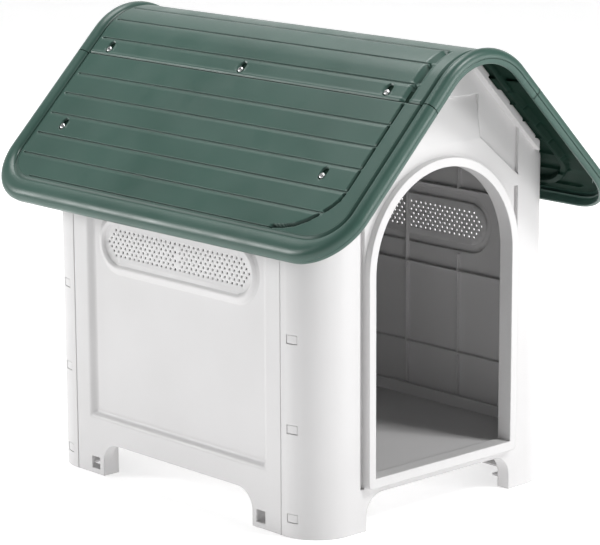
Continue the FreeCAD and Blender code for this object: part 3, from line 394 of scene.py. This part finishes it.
# Where the nets have lines of their own, in millimetres from the line, slot or screw that they frame.
PLANK_NET = (-0.6, -0.1, 0.0, 0.3, 0.65, 1.0, 1.3, 1.8, 2.4, 3.2, 4.2, 5.4, 6.6, 8.0, 8.6)
CAP_PLANK_NET = (-0.6, -0.1, 0.0, 0.3, 0.65, 1.0, 1.3, 1.8, 2.4, 3.2, 4.4, 5.8, 8.0)
CAP_LIP_NET = (0.4, 0.9, 1.5, 2.2, 3.0, 4.0, 5.2, 6.6)
SLOT_NET = (1.15, 1.3, 1.45, 1.6, 1.75, 2.2)
SLOT_START_NET = (3.6, 3.95, 4.3, 4.6)
POCKET_ALONG_NET = np.arange(-12.6, 7.0, 0.7)
POCKET_ACROSS_NET = np.arange(-7.0, 7.1, 0.7)


@dataclass(frozen=True)
class RoofShape:
    """The sizes that the three roof mouldings share, in millimetres."""

    ridge_height: float = 660.0
    ridge_radius: float = 107.0
    slope_end: float = 417.0
    half_length: float = 375.0
    corner: float = 85.0
    depth: float = 21.0
    strip: float = 8.0
    field_drop: float = 4.0
    sheet: float = 3.5
    rib: float = 3.6
    flange_width: float = 20.0
    flange_inset: float = 5.0
    flange_gap: float = 0.5
    joint: float = 151.5
    joint_gap: float = 1.3
    front_roll: float = 20.0
    eave_roll: float = 31.0
    rear_roll: float = 25.0
    valley: float = 8.6
    shallower: float = 3.4
    valley_ease: float = 7.0
    plank: float = 37.5
    planks: int = 6
    slot_line: float = -321.7
    slot_half: float = 3.0
    slot_depth: float = 7.5
    slot_wall: float = 0.5
    slot_ease: float = 1.6
    groove_depth: float = 2.8
    groove_drop: float = 0.65
    groove_width: float = 8.0
    pocket_radius: float = 6.6
    pocket_run: float = 8.0
    pocket_depth: float = 5.2
    pocket_wall: float = 0.8
    rim_sink: float = 0.02
    field_lap: float = 0.6
    under_lap: float = 18.0
    ridge_screw: float = 141.0
    eave_screw: float = 285.67
    ridge_screw_places: tuple[float, ...] = (-280.0, 14.0, 308.0)
    eave_screw_places: tuple[float, ...] = (-262.0, 294.0)

    @property
    def apex(self) -> float:
        """The height at which the two slopes' planes meet."""
        return self.ridge_height + (math.sqrt(2.0) - 1.0) * self.ridge_radius

    @property
    def arc_end(self) -> float:
        """How far down the surface, from the ridge, the rounded top ends."""
        return self.ridge_radius * math.pi / 4.0

    @property
    def field_rear(self) -> float:
        """Where the planks end at the rear rim."""
        return self.half_length - self.rear_roll - self.valley_ease

    @property
    def ridge_screw_girth(self) -> float:
        """How far down the surface, from the ridge, the cap's screws lie."""
        return self.arc_end + self.ridge_screw - self.ridge_radius

    def place(self, along: np.ndarray, across: np.ndarray, height: np.ndarray, side: Side) -> np.ndarray:
        """Turns slope coordinates into points in metres.

        Args:
            along: Down the slope from the apex.
            across: Along Y.
            height: Square to the slope, 0 on the rim's crest.
            side: Which slope.

        Returns:
            The points, with X, Y and Z last.
        """
        root = math.sqrt(0.5)
        x = side.value * (along + height) * root
        z = self.apex + (height - along) * root
        return np.stack([x, across, z], axis=-1) * MM

    def place_ridge(self, girth: np.ndarray, across: np.ndarray, height: np.ndarray) -> np.ndarray:
        """Turns ridge coordinates into points in metres.

        Args:
            girth: Round the cap from the ridge line, positive towards +X.
            across: Along Y.
            height: Square to the cap, 0 on the rim's crest.

        Returns:
            The points, with X, Y and Z last.
        """
        girth, across, height = np.broadcast_arrays(girth, across, height)
        sign = np.sign(girth)
        reach = np.abs(girth)
        angle = np.minimum(reach, self.arc_end) / self.ridge_radius
        centre = self.ridge_height - self.ridge_radius
        out = self.ridge_radius + height
        x = out * np.sin(angle)
        z = centre + out * np.cos(angle)
        beyond = np.maximum(reach - self.arc_end, 0.0) * math.sqrt(0.5)
        return np.stack([sign * (x + beyond), across, z - beyond], axis=-1) * MM

    def roll_profile(self, width: float) -> np.ndarray:
        """The section of the rolled rim, from the field round to the underside.

        Args:
            width: From the outer edge to the bottom of the valley.

        Returns:
            Rows of (inward from the outer edge, height).
        """
        crest = 0.52 * width
        valley = self.valley - self.shallower * (width - self.front_roll) / (self.eave_roll - self.front_roll)
        ease = np.linspace(1.0, 0.0, 9)
        inner = np.stack([width + self.valley_ease * ease,
                          -valley + (valley - self.field_drop) * smooth(ease)], axis=1)
        dip = np.linspace(math.pi / 2.0, 0.0, 14)[1:]
        flank = np.stack([crest + (width - crest) * np.sin(dip), -valley * (1.0 - np.cos(dip))], axis=1)
        turn = np.linspace(0.0, math.pi / 2.0, 20)[1:]
        bulge = self.depth - self.strip - 0.4
        roll = np.stack([crest - crest * np.sin(turn), -bulge * (1.0 - np.cos(turn) ** 0.85)], axis=1)
        low = -(self.depth - self.strip)
        tail = np.array([
            (0.35, low + 0.15), (1.7, low), (1.9, low - 0.35), (1.8, low - 0.75), (0.9, low - 0.95),
            (0.9, low - 1.3), (1.5, low - 4.5), (2.3, -self.depth + 0.9), (2.9, -self.depth + 0.25),
            (3.7, -self.depth), (6.0, -self.depth), (6.6, -self.depth + 0.25), (6.9, -self.depth + 0.9),
            (7.1, -self.field_drop - self.sheet - 2.5), (7.9, -self.field_drop - self.sheet - 0.6),
            (9.5, -self.field_drop - self.sheet),
        ])
        return np.concatenate([inner, flank, roll, tail])

    def groove(self, past: np.ndarray, depth: float) -> np.ndarray:
        """The height of a plank line: a steep drop, then a slow rise back to the next plank.

        Args:
            past: How far down the roof from the line.
            depth: The deepest point.

        Returns:
            Heights of 0 or less.
        """
        drop = smooth(past / self.groove_drop)
        rise = 0.75 * smooth((past - 1.8) / 0.9) + 0.25 * smooth((past - 2.7) / 5.3)
        return -depth * np.where((past > 0.0) & (past < self.groove_width), drop - rise, 0.0)

    def slot(self, distance: np.ndarray) -> np.ndarray:
        """1 within an end slot and 0 outside, from the distance to its centre line."""
        return 1.0 - smooth((distance - self.slot_half + self.slot_wall) / self.slot_wall)

    def slot_back(self, behind: np.ndarray) -> np.ndarray:
        """How far a slot stands out of the underside, from the distance past its wall."""
        return (self.slot_depth + 0.6) * (1.0 - smooth(behind / self.slot_ease))

    def pocket(self, along: np.ndarray, across: np.ndarray, line: float, place: float) -> np.ndarray:
        """1 inside the obround pocket of one screw and 0 outside, with a steep edge.

        Args:
            along: Down the surface.
            across: Along Y.
            line: Where the screw lies down the surface.
            place: Where the screw lies along Y.

        Returns:
            Numbers from 0 to 1.
        """
        run = np.clip(along, line - self.pocket_run, line)
        distance = np.hypot(along - run, across - place)
        return 1.0 - smooth((distance - self.pocket_radius + self.pocket_wall) / self.pocket_wall)


@dataclass
class RoofSlope:
    """One roof slope: a rolled rim on three sides round a field of planks."""

    side: Side
    shape: RoofShape
    finish: bpy.types.Material
    # The painted-shade copy of the finish, used on the underside and the flange.
    core: bpy.types.Material

    def outline(self) -> tuple[np.ndarray, np.ndarray, np.ndarray]:
        """The outer edge from the front end of the ridge joint round to its rear end.

        Returns:
            The edge's points, their inward directions and the roll's width at each.
        """
        s = self.shape
        start, bend = s.joint + s.joint_gap, s.slope_end - s.corner
        side_end = s.half_length - s.corner
        angles = np.linspace(0.0, math.pi / 2.0, 40)
        points, inward, widths = [], [], []

        def put(point: tuple[float, float], direction: tuple[float, float], width: float) -> None:
            """Adds one point of the edge.

            Args:
                point: Its place down the slope and across it.
                direction: Inward from the edge.
                width: The roll's width there.
            """
            points.append(point)
            inward.append(direction)
            widths.append(width)

        def put_corner(sign: float, narrow: float, turn: np.ndarray) -> None:
            """Adds one rounded corner.

            Args:
                sign: The corner's side along Y.
                narrow: The roll's width at the end away from the eave.
                turn: The angles to pass through, in order.
            """
            for angle in turn:
                spread = float(smooth(np.array(angle / angles[-1])))
                sine, cosine = math.sin(angle), math.cos(angle)
                put((bend + s.corner * sine, sign * (side_end + s.corner * cosine)),
                    (-sine, -sign * cosine), narrow + (s.eave_roll - narrow) * spread)

        for along in np.linspace(start, bend, 12)[:-1]:
            put((along, -s.half_length), (0.0, 1.0), s.front_roll)
        put_corner(-1.0, s.front_roll, angles)
        for across in np.linspace(-side_end, side_end, 26)[1:-1]:
            put((s.slope_end, across), (-1.0, 0.0), s.eave_roll)
        put_corner(1.0, s.rear_roll, angles[::-1])
        for along in np.linspace(bend, start, 12)[1:]:
            put((along, s.half_length), (0.0, -1.0), s.rear_roll)
        return np.array(points), np.array(inward), np.array(widths)

    def inner_edge(self, extra: float) -> np.ndarray:
        """Where the field meets the roll, pushed outward by extra, as (along, across) points."""
        points, inward, widths = self.outline()
        return points + inward * (widths + self.shape.valley_ease - extra)[:, None]

    def slot_paths(self) -> list[np.ndarray]:
        """The centre lines of the slots at the front ends of the planks.

        Returns:
            One row of (along, across) points for each slot.
        """
        s = self.shape
        paths = []
        for number in range(s.planks - 2):
            near = s.joint + number * s.plank + 5.6
            far = s.joint + (number + 1) * s.plank - 1.5
            paths.append(np.array([(near, s.slot_line), (far, s.slot_line)]))
        paths.append(np.array([(307.4, -321.0), (318.0, -319.2), (328.0, -313.8), (337.5, -306.0)]))
        paths.append(np.array([(345.2, -298.5), (356.0, -286.5), (366.0, -270.5), (371.8, -253.0),
                               (375.2, -234.0)]))
        return paths

    def slot_distance(self, along: np.ndarray, across: np.ndarray) -> np.ndarray:
        """How far each point is from the nearest slot's centre line.

        Args:
            along: Down the slope from the apex.
            across: Along Y.

        Returns:
            Distances in millimetres.
        """
        near = np.full(along.shape, np.inf)
        for path in self.slot_paths():
            for start, end in zip(path, path[1:]):
                step = end - start
                t = ((along - start[0]) * step[0] + (across - start[1]) * step[1]) / step.dot(step)
                t = np.clip(t, 0.0, 1.0)
                distance = np.hypot(along - start[0] - t * step[0], across - start[1] - t * step[1])
                near = np.minimum(near, distance)
        return near

    def field_height(self, along: np.ndarray, across: np.ndarray) -> np.ndarray:
        """The height of the planks, with their lines, end slots and screw pockets.

        Args:
            along: Down the slope from the apex.
            across: Along Y.

        Returns:
            Heights square to the slope.
        """
        s = self.shape
        height = np.full(along.shape, -s.field_drop)
        starts = [s.slot_line] * (s.planks - 2) + [-305.0, -234.0]
        for number, begin in enumerate(starts, start=1):
            line = s.joint + number * s.plank
            end = s.field_rear - 8.0 if number < s.planks else s.field_rear - 55.0
            reach = smooth((across - begin) / 1.5 + 1.0) * smooth((end - across) / 5.0 + 1.0)
            height = height + s.groove(along - line, s.groove_depth) * reach
        height = height - s.slot_depth * s.slot(self.slot_distance(along, across))
        for place in s.eave_screw_places:
            height = height - s.pocket_depth * s.pocket(along, across, s.eave_screw, place)
        lip = s.joint + s.joint_gap
        return height - 0.8 * (1.0 - smooth((along - lip) / 1.6))

    def grid_lines(self) -> tuple[np.ndarray, np.ndarray]:
        """The lines of the field's net, close together where something small is moulded.

        Returns:
            The lines down the slope and the lines across it.
        """
        s = self.shape
        along, across = [], []
        for number in range(1, s.planks + 1):
            line = s.joint + number * s.plank
            along += [line + k for k in PLANK_NET]
            along += [line - s.plank + k for k in SLOT_START_NET]
        along += list(np.arange(302.0, 378.0, 1.1))
        lip = s.joint + s.joint_gap
        along += [lip + k for k in (0.3, 0.8, 1.3, 1.7)]
        along += list(s.eave_screw + POCKET_ALONG_NET)
        for place in s.eave_screw_places:
            across += list(place + POCKET_ACROSS_NET)
        for sign in (-1.0, 1.0):
            across += [s.slot_line + sign * k for k in SLOT_NET]
        across += list(np.arange(-322.0, -230.0, 1.3))
        across += [s.field_rear - k for k in (8.0, 6.8, 5.5, 4.2, 3.0)]
        return spaced(lip, s.slope_end, 4.0, along), spaced(-s.half_length, s.half_length, 5.0, across)

    def clipped_net(self, extra: float) -> tuple[np.ndarray, np.ndarray]:
        """The field's net with its last points drawn onto the inner edge of the roll.

        Args:
            extra: How far the net runs under the roll.

        Returns:
            The points' places down the slope and across it.
        """
        edge = self.inner_edge(extra)
        along_lines, across_lines = self.grid_lines()
        low, high = edge[0, 1], edge[-1, 1]
        lines = across_lines[(across_lines > low) & (across_lines < high)]
        corners = edge[(edge[:, 1] > low + 0.01) & (edge[:, 1] < high - 0.01), 1]
        rows = np.unique(np.concatenate([[low, high], lines, corners]))
        keep = np.concatenate([[True], np.diff(edge[:, 1]) > 1e-6])
        limit = np.interp(rows, edge[keep, 1], edge[keep, 0])
        ends = np.array([edge[edge[:, 1] <= low + 0.01, 0].max(), edge[edge[:, 1] >= high - 0.01, 0].max()])
        limit[0], limit[-1] = ends
        along = np.minimum(along_lines[None, :], limit[:, None])
        across = np.repeat(rows[:, None], along.shape[1], axis=1)
        return along, across

    def under_height(self, along: np.ndarray, across: np.ndarray) -> np.ndarray:
        """The height of the underside, where the plank lines and the slots show as ridges.

        Args:
            along: Down the slope from the apex.
            across: Along Y.

        Returns:
            Heights square to the slope.
        """
        s = self.shape
        height = np.full(along.shape, -s.field_drop - s.sheet)
        for number in range(1, s.planks + 1):
            past = along - (s.joint + number * s.plank) - 1.4
            inside = smooth((across + 318.0) / 6.0) * smooth((335.0 - across) / 6.0)
            height = height - s.rib * np.exp(-((past / 1.8) ** 2)) * inside
        behind = self.slot_distance(along, across) - s.slot_half - 1.2
        return height - s.slot_back(behind)

    def add_flange(self, draft: MeshDraft) -> None:
        """Adds the strip that reaches under the ridge cap, as a top and a bottom sheet.

        Args:
            draft: The draft that gets the sheets.
        """
        s = self.shape
        reach = s.half_length - s.flange_inset
        lines = np.array([s.joint - s.flange_width, s.joint + s.joint_gap + s.sheet])
        along, across = np.meshgrid(lines, np.linspace(-reach, reach, 5))
        top = -s.field_drop - s.sheet - s.flange_gap
        mirror = self.side is Side.LEFT
        for level, flip in ((top, mirror), (top - s.sheet, not mirror)):
            sheet = s.place(along, across, np.full(along.shape, level), self.side)
            # Both sheets take slot 1, the painted-shade finish.
            draft.add_sheet(sheet, flip=flip, slot=1)

    def build(self, label: str) -> bpy.types.Object:
        """Builds the whole moulding and stands it in for its CAD node.

        Args:
            label: The node that the piece replaces.

        Returns:
            The new piece.
        """
        s = self.shape
        draft = MeshDraft()
        mirror = self.side is Side.LEFT
        points, inward, widths = self.outline()
        rim = np.stack([s.roll_profile(width) for width in widths])
        along = points[:, None, 0] + inward[:, None, 0] * rim[:, :, 0]
        across = points[:, None, 1] + inward[:, None, 1] * rim[:, :, 0]
        draft.add_sheet(s.place(along, across, rim[:, :, 1] - s.rim_sink, self.side), flip=not mirror)
        along, across = self.clipped_net(s.field_lap)
        draft.add_sheet(s.place(along, across, self.field_height(along, across), self.side), flip=mirror)
        # The underside takes slot 1, the painted-shade finish.
        along, across = self.clipped_net(s.under_lap)
        under = s.place(along, across, self.under_height(along, across), self.side)
        draft.add_sheet(under, flip=not mirror, slot=1)
        self.add_flange(draft)
        piece = draft.build(f"{label}_moulding")
        piece.data.materials.append(self.finish)
        piece.data.materials.append(self.core)
        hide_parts(label)
        return piece


@dataclass
class RidgeCap:
    """The rounded moulding over the ridge, with a rolled rim at its front and rear ends."""

    shape: RoofShape
    finish: bpy.types.Material
    # The painted-shade copy of the finish, used on the underside.
    core: bpy.types.Material
    plank_lines: tuple[float, ...] = (19.5, 58.4, 97.0)

    @property
    def half_girth(self) -> float:
        """From the ridge line round to the joint with a slope."""
        return self.shape.arc_end + self.shape.joint - self.shape.ridge_radius

    def girth_lines(self) -> np.ndarray:
        """The net's lines round the cap, close together at the planks, the screws and the lower lips.

        Returns:
            The lines from the left joint to the right one.
        """
        s = self.shape
        wanted: list[float] = [0.0]
        for sign in (-1.0, 1.0):
            for line in self.plank_lines:
                wanted += [sign * (line + k) for k in CAP_PLANK_NET]
            wanted += [sign * (s.ridge_screw_girth + k) for k in POCKET_ALONG_NET]
            wanted += [sign * (self.half_girth - k) for k in CAP_LIP_NET]
        return spaced(-self.half_girth, self.half_girth, 3.0, wanted)

    def field_height(self, girth: np.ndarray, across: np.ndarray) -> np.ndarray:
        """The height of the cap's planks, lips, end slots and screw pockets.

        Args:
            girth: Round the cap from the ridge line.
            across: Along Y.

        Returns:
            Heights square to the cap.
        """
        s = self.shape
        reach = np.abs(girth)
        height = np.full(girth.shape, -s.field_drop)
        ends = smooth((across - s.slot_line) / 1.5 + 1.0) * smooth((s.field_rear - 6.0 - across) / 5.0 + 1.0)
        for line in self.plank_lines:
            height = height + s.groove(reach - line, s.groove_depth) * ends
        below = self.half_girth - reach
        height = height + 0.7 * np.exp(-(((below - 3.4) / 1.9) ** 2)) - 0.9 * (1.0 - smooth(below / 1.6))
        edges = (0.0, *self.plank_lines, self.half_girth)
        for near, far in zip(edges[1:], edges[2:]):
            along = np.clip(reach, near + 5.6, far - 1.8)
            distance = np.hypot(reach - along, across - s.slot_line)
            height = height - s.slot_depth * s.slot(distance)
        for place in s.ridge_screw_places:
            height = height - s.pocket_depth * s.pocket(reach, across, s.ridge_screw_girth, place)
        return height

    def end_rims(self, draft: MeshDraft, girth: np.ndarray) -> None:
        """Adds the rolled rim at each end of the cap.

        Args:
            draft: The draft that gets the sheets.
            girth: The net's lines round the cap.
        """
        s = self.shape
        for sign, width in ((-1.0, s.front_roll), (1.0, s.rear_roll)):
            profile = s.roll_profile(width)
            across = sign * (s.half_length - profile[:, 0])
            net = s.place_ridge(girth[:, None], across[None, :], profile[None, :, 1] - s.rim_sink)
            draft.add_sheet(net, flip=sign > 0.0)

    def build(self, label: str) -> bpy.types.Object:
        """Builds the moulding and stands it in for its CAD node.

        Args:
            label: The node that the piece replaces.

        Returns:
            The new piece.
        """
        s = self.shape
        draft = MeshDraft()
        girth = self.girth_lines()
        self.end_rims(draft, girth)
        low = -(s.half_length - s.front_roll - s.valley_ease) - s.field_lap
        high = s.field_rear + s.field_lap
        wanted: list[float] = []
        for place in s.ridge_screw_places:
            wanted += list(place + POCKET_ACROSS_NET)
        for sign in (-1.0, 1.0):
            wanted += [s.slot_line + sign * k for k in SLOT_NET]
        wanted += [high - k for k in (6.6, 5.4, 4.2, 3.0, 1.8)]
        across = spaced(low, high, 6.0, wanted)
        net_girth, net_across = np.meshgrid(girth, across)
        top = s.place_ridge(net_girth, net_across, self.field_height(net_girth, net_across))
        draft.add_sheet(top)
        rib_lines = [s.slot_line + sign * (s.slot_half + k) for sign in (-1.0, 1.0) for k in (1.0, 1.8, 2.6)]
        under_across = spaced(-s.half_length + 9.0, s.half_length - 9.0, 40.0, rib_lines)
        net_girth, net_across = np.meshgrid(girth, under_across)
        behind = np.abs(net_across - s.slot_line) - s.slot_half - 1.0
        level = -s.field_drop - s.sheet - s.slot_back(behind)
        under = s.place_ridge(net_girth, net_across, level)
        # The underside takes slot 1, the painted-shade finish.
        draft.add_sheet(under, flip=True, slot=1)
        piece = draft.build(f"{label}_moulding")
        piece.data.materials.append(self.finish)
        piece.data.materials.append(self.core)
        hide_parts(label)
        return piece


# ---------------------------------------------------------------- carried nodes


@dataclass
class CarriedPiece:
    """A CAD node that keeps its own shape and gets a finish and softened edges.

    Every crease gets the small rounding. Creases whose middle satisfies broad get the large one, and those
    that satisfy crisp stay as they are.
    """

    node: str
    finish: bpy.types.Material
    edge: float = 0.8
    large: float = 0.8
    crease: float = 25.0
    broad: Callable[[Vector], bool] = lambda middle: False
    crisp: Callable[[Vector], bool] = lambda middle: False

    def weigh(self, mesh: bpy.types.Mesh) -> None:
        """Writes how far each edge of the mesh is rounded, from 0 to 1 of the large rounding.

        Args:
            mesh: The node's mesh; its vertices stay as they are.
        """
        def key(spot: Vector) -> tuple[int, ...]:
            """The vertex's place on a fine grid, the same for doubled vertices."""
            return tuple(round(v / SAME_SPOT) for v in spot)

        places = [key(vertex.co) for vertex in mesh.vertices]
        facing: dict[tuple, list[Vector]] = {}
        for polygon in mesh.polygons:
            corners = polygon.vertices
            for first, second in zip(corners, [*corners[1:], corners[0]]):
                pair = tuple(sorted((places[first], places[second])))
                facing.setdefault(pair, []).append(polygon.normal.copy())
        weights = mesh.attributes.new("bevel_weight_edge", "FLOAT", "EDGE")
        limit = math.cos(math.radians(self.crease))
        for edge in mesh.edges:
            first, second = edge.vertices
            sides = facing.get(tuple(sorted((places[first], places[second]))), [])
            if len(sides) != 2 or sides[0].dot(sides[1]) > limit:
                continue
            middle = (mesh.vertices[first].co + mesh.vertices[second].co) / (2.0 * MM)
            if not self.crisp(middle):
                weights.data[edge.index].value = 1.0 if self.broad(middle) else self.edge / self.large

    def dress(self) -> bpy.types.Object:
        """Sets the finish and rounds the edges.

        Returns:
            The CAD node's object.
        """
        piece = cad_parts[self.node]
        piece.data.materials.clear()
        piece.data.materials.append(self.finish)
        self.weigh(piece.data)
        weld = piece.modifiers.new("weld", "WELD")
        weld.merge_threshold = NODE_WELD
        bevel = piece.modifiers.new("edges", "BEVEL")
        bevel.width = self.large * MM
        bevel.segments = 3
        bevel.limit_method = "WEIGHT"
        bevel.use_clamp_overlap = self.large == self.edge
        normals = piece.modifiers.new("normals", "WEIGHTED_NORMAL")
        normals.weight = 60
        return piece


def vent_area(middle: Vector) -> bool:
    """True on the perforated plate of a side panel; middle is in millimetres."""
    return abs(middle.z - 352.5) < 31.0 and abs(middle.y) < 160.0


def recess_edge(middle: Vector) -> bool:
    """True on the lower and outer creases of a side panel's recess.

    Args:
        middle: The middle of a crease, in millimetres.

    Returns:
        Whether the crease gets the large rounding.
    """
    along = abs(middle.y)
    on_panel = abs(middle.x) > 226.0 and 84.0 < middle.z < 400.0 and along < 196.0
    return on_panel and (along > 180.0 or middle.z < 98.0)


# ---------------------------------------------------------------- studio


@dataclass(frozen=True)
class Lamp:
    """One soft square lamp: place and size in metres, power in watts."""

    name: str
    place: tuple[float, float, float]
    size: float
    power: float

    def build(self) -> None:
        """Adds the lamp, aimed at the middle of the kennel."""
        data = bpy.data.lights.new(self.name, "AREA")
        data.energy = self.power
        data.size = self.size
        lamp = bpy.data.objects.new(self.name, data)
        lamp.location = self.place
        lamp.rotation_euler = (AIM - Vector(self.place)).to_track_quat("-Z", "Y").to_euler()
        bpy.context.scene.collection.objects.link(lamp)


AIM = Vector((0.0, 0.0, 0.35))
LAMPS = (
    Lamp("left_lamp", (-2.9, 3.1, 1.8), 1.2, 80.0),
    Lamp("front_lamp", (2.3, -3.7, 0.8), 1.2, 50.0),
    Lamp("door_lamp", (1.0, -2.6, 3.0), 0.8, 74.0),
    Lamp("top_lamp", (0.2, 1.2, 3.6), 2.0, 76.0),
)


@dataclass
class Studio:
    """Floor, lights and camera."""

    camera_place: tuple[float, float, float] = (-2.6335, -2.8475, 1.1597)
    yaw: float = -42.80
    pitch: float = 12.57
    roll: float = -0.256
    lens: float = 163.6
    sensor: float = 36.0
    sky_strength: float = 0.2
    floor_sink: float = 0.0004

    def floor(self) -> None:
        """A wide sheet of paper that curves up behind the kennel."""
        draft = MeshDraft()
        reach, bend, wall = 5.0, 2.6, 5.0
        turn = np.linspace(0.0, math.pi / 2.0, 24)
        back = np.concatenate([[-reach], reach + bend * np.sin(turn), [reach + bend]])
        height = np.concatenate([[0.0], bend * (1.0 - np.cos(turn)), [wall + bend]])
        view = math.radians(self.yaw)
        forward = np.array([-math.sin(view), math.cos(view)])
        across = np.array([math.cos(view), math.sin(view)])
        rows = []
        for wide in np.linspace(-reach * 1.6, reach * 1.6, 9):
            flat = back[:, None] * forward + wide * across
            rows.append(np.concatenate([flat, height[:, None] - self.floor_sink], axis=1))
        draft.add_sheet(np.array(rows))
        paper = draft.build("paper_floor")
        paper.data.materials.append(StudioPaper().material())

    def lights(self) -> None:
        """Sets the lamps and the white surroundings."""
        for lamp in LAMPS:
            lamp.build()
        world = bpy.data.worlds.new("white_room")
        world.use_nodes = True
        sky = world.node_tree.nodes["Background"]
        sky.inputs["Color"].default_value = (1.0, 1.0, 1.0, 1.0)
        sky.inputs["Strength"].default_value = self.sky_strength
        bpy.context.scene.world = world

    def camera(self) -> None:
        """Places the camera and makes it the scene's own."""
        yaw, pitch, roll = (math.radians(v) for v in (self.yaw, self.pitch, self.roll))
        back = Vector((math.sin(yaw) * math.cos(pitch), -math.cos(yaw) * math.cos(pitch), math.sin(pitch)))
        right = Vector((math.cos(yaw), math.sin(yaw), 0.0))
        up = back.cross(right)
        turned_right = right * math.cos(roll) + up * math.sin(roll)
        turned_up = up * math.cos(roll) - right * math.sin(roll)
        pose = Matrix((turned_right, turned_up, back)).transposed().to_4x4()
        pose.translation = Vector(self.camera_place)
        data = bpy.data.cameras.new("studio_camera")
        data.lens = self.lens
        data.sensor_width = self.sensor
        camera = bpy.data.objects.new("studio_camera", data)
        camera.matrix_world = pose
        bpy.context.scene.collection.objects.link(camera)
        bpy.context.scene.camera = camera

    def build(self) -> None:
        """Builds the studio and sets how tones are shown."""
        self.floor()
        self.lights()
        self.camera()
        bpy.context.scene.view_settings.view_transform = "Standard"


@dataclass
class Kennel:
    """The whole kennel: roof, walls, floor and screws."""

    shape: RoofShape = field(default_factory=RoofShape)

    def build(self) -> None:
        """Builds or dresses every piece and logs each one."""
        wall, metal = WALL_PLASTIC.material(), PlatedSteel().material()
        # The second roof finish is a painted-shade copy of the green plastic, for the undersides and joint
        # strips.
        roof, core = ROOF_PLASTIC.material(), PAINTED_SHADE_PLASTIC.material()
        pieces = [
            RoofSlope(Side.LEFT, self.shape, roof, core).build("roof_left_panel"),
            RoofSlope(Side.RIGHT, self.shape, roof, core).build("roof_right_panel"),
            RidgeCap(self.shape, roof, core).build("ridge_cap"),
        ]
        for piece in pieces:
            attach(piece, "root")
            LOG.info("%s: %d points", piece.name, len(piece.data.vertices))
        for node in sorted(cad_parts):
            if "screw" in node:
                CarriedPiece(node, metal, 0.2, 0.2).dress()
            elif "side" in node:
                CarriedPiece(node, wall, 0.6, 3.4, broad=recess_edge, crisp=vent_area).dress()
            elif "roof" not in node and node != "ridge_cap":
                CarriedPiece(node, wall).dress()
            LOG.info("%s dressed", node)


def main() -> None:
    """Builds the kennel and the studio round it."""
    logging.basicConfig(level=logging.INFO, format="%(name)s: %(message)s")
    Kennel().build()
    Studio().build()


if __name__ == "__main__":
    main()
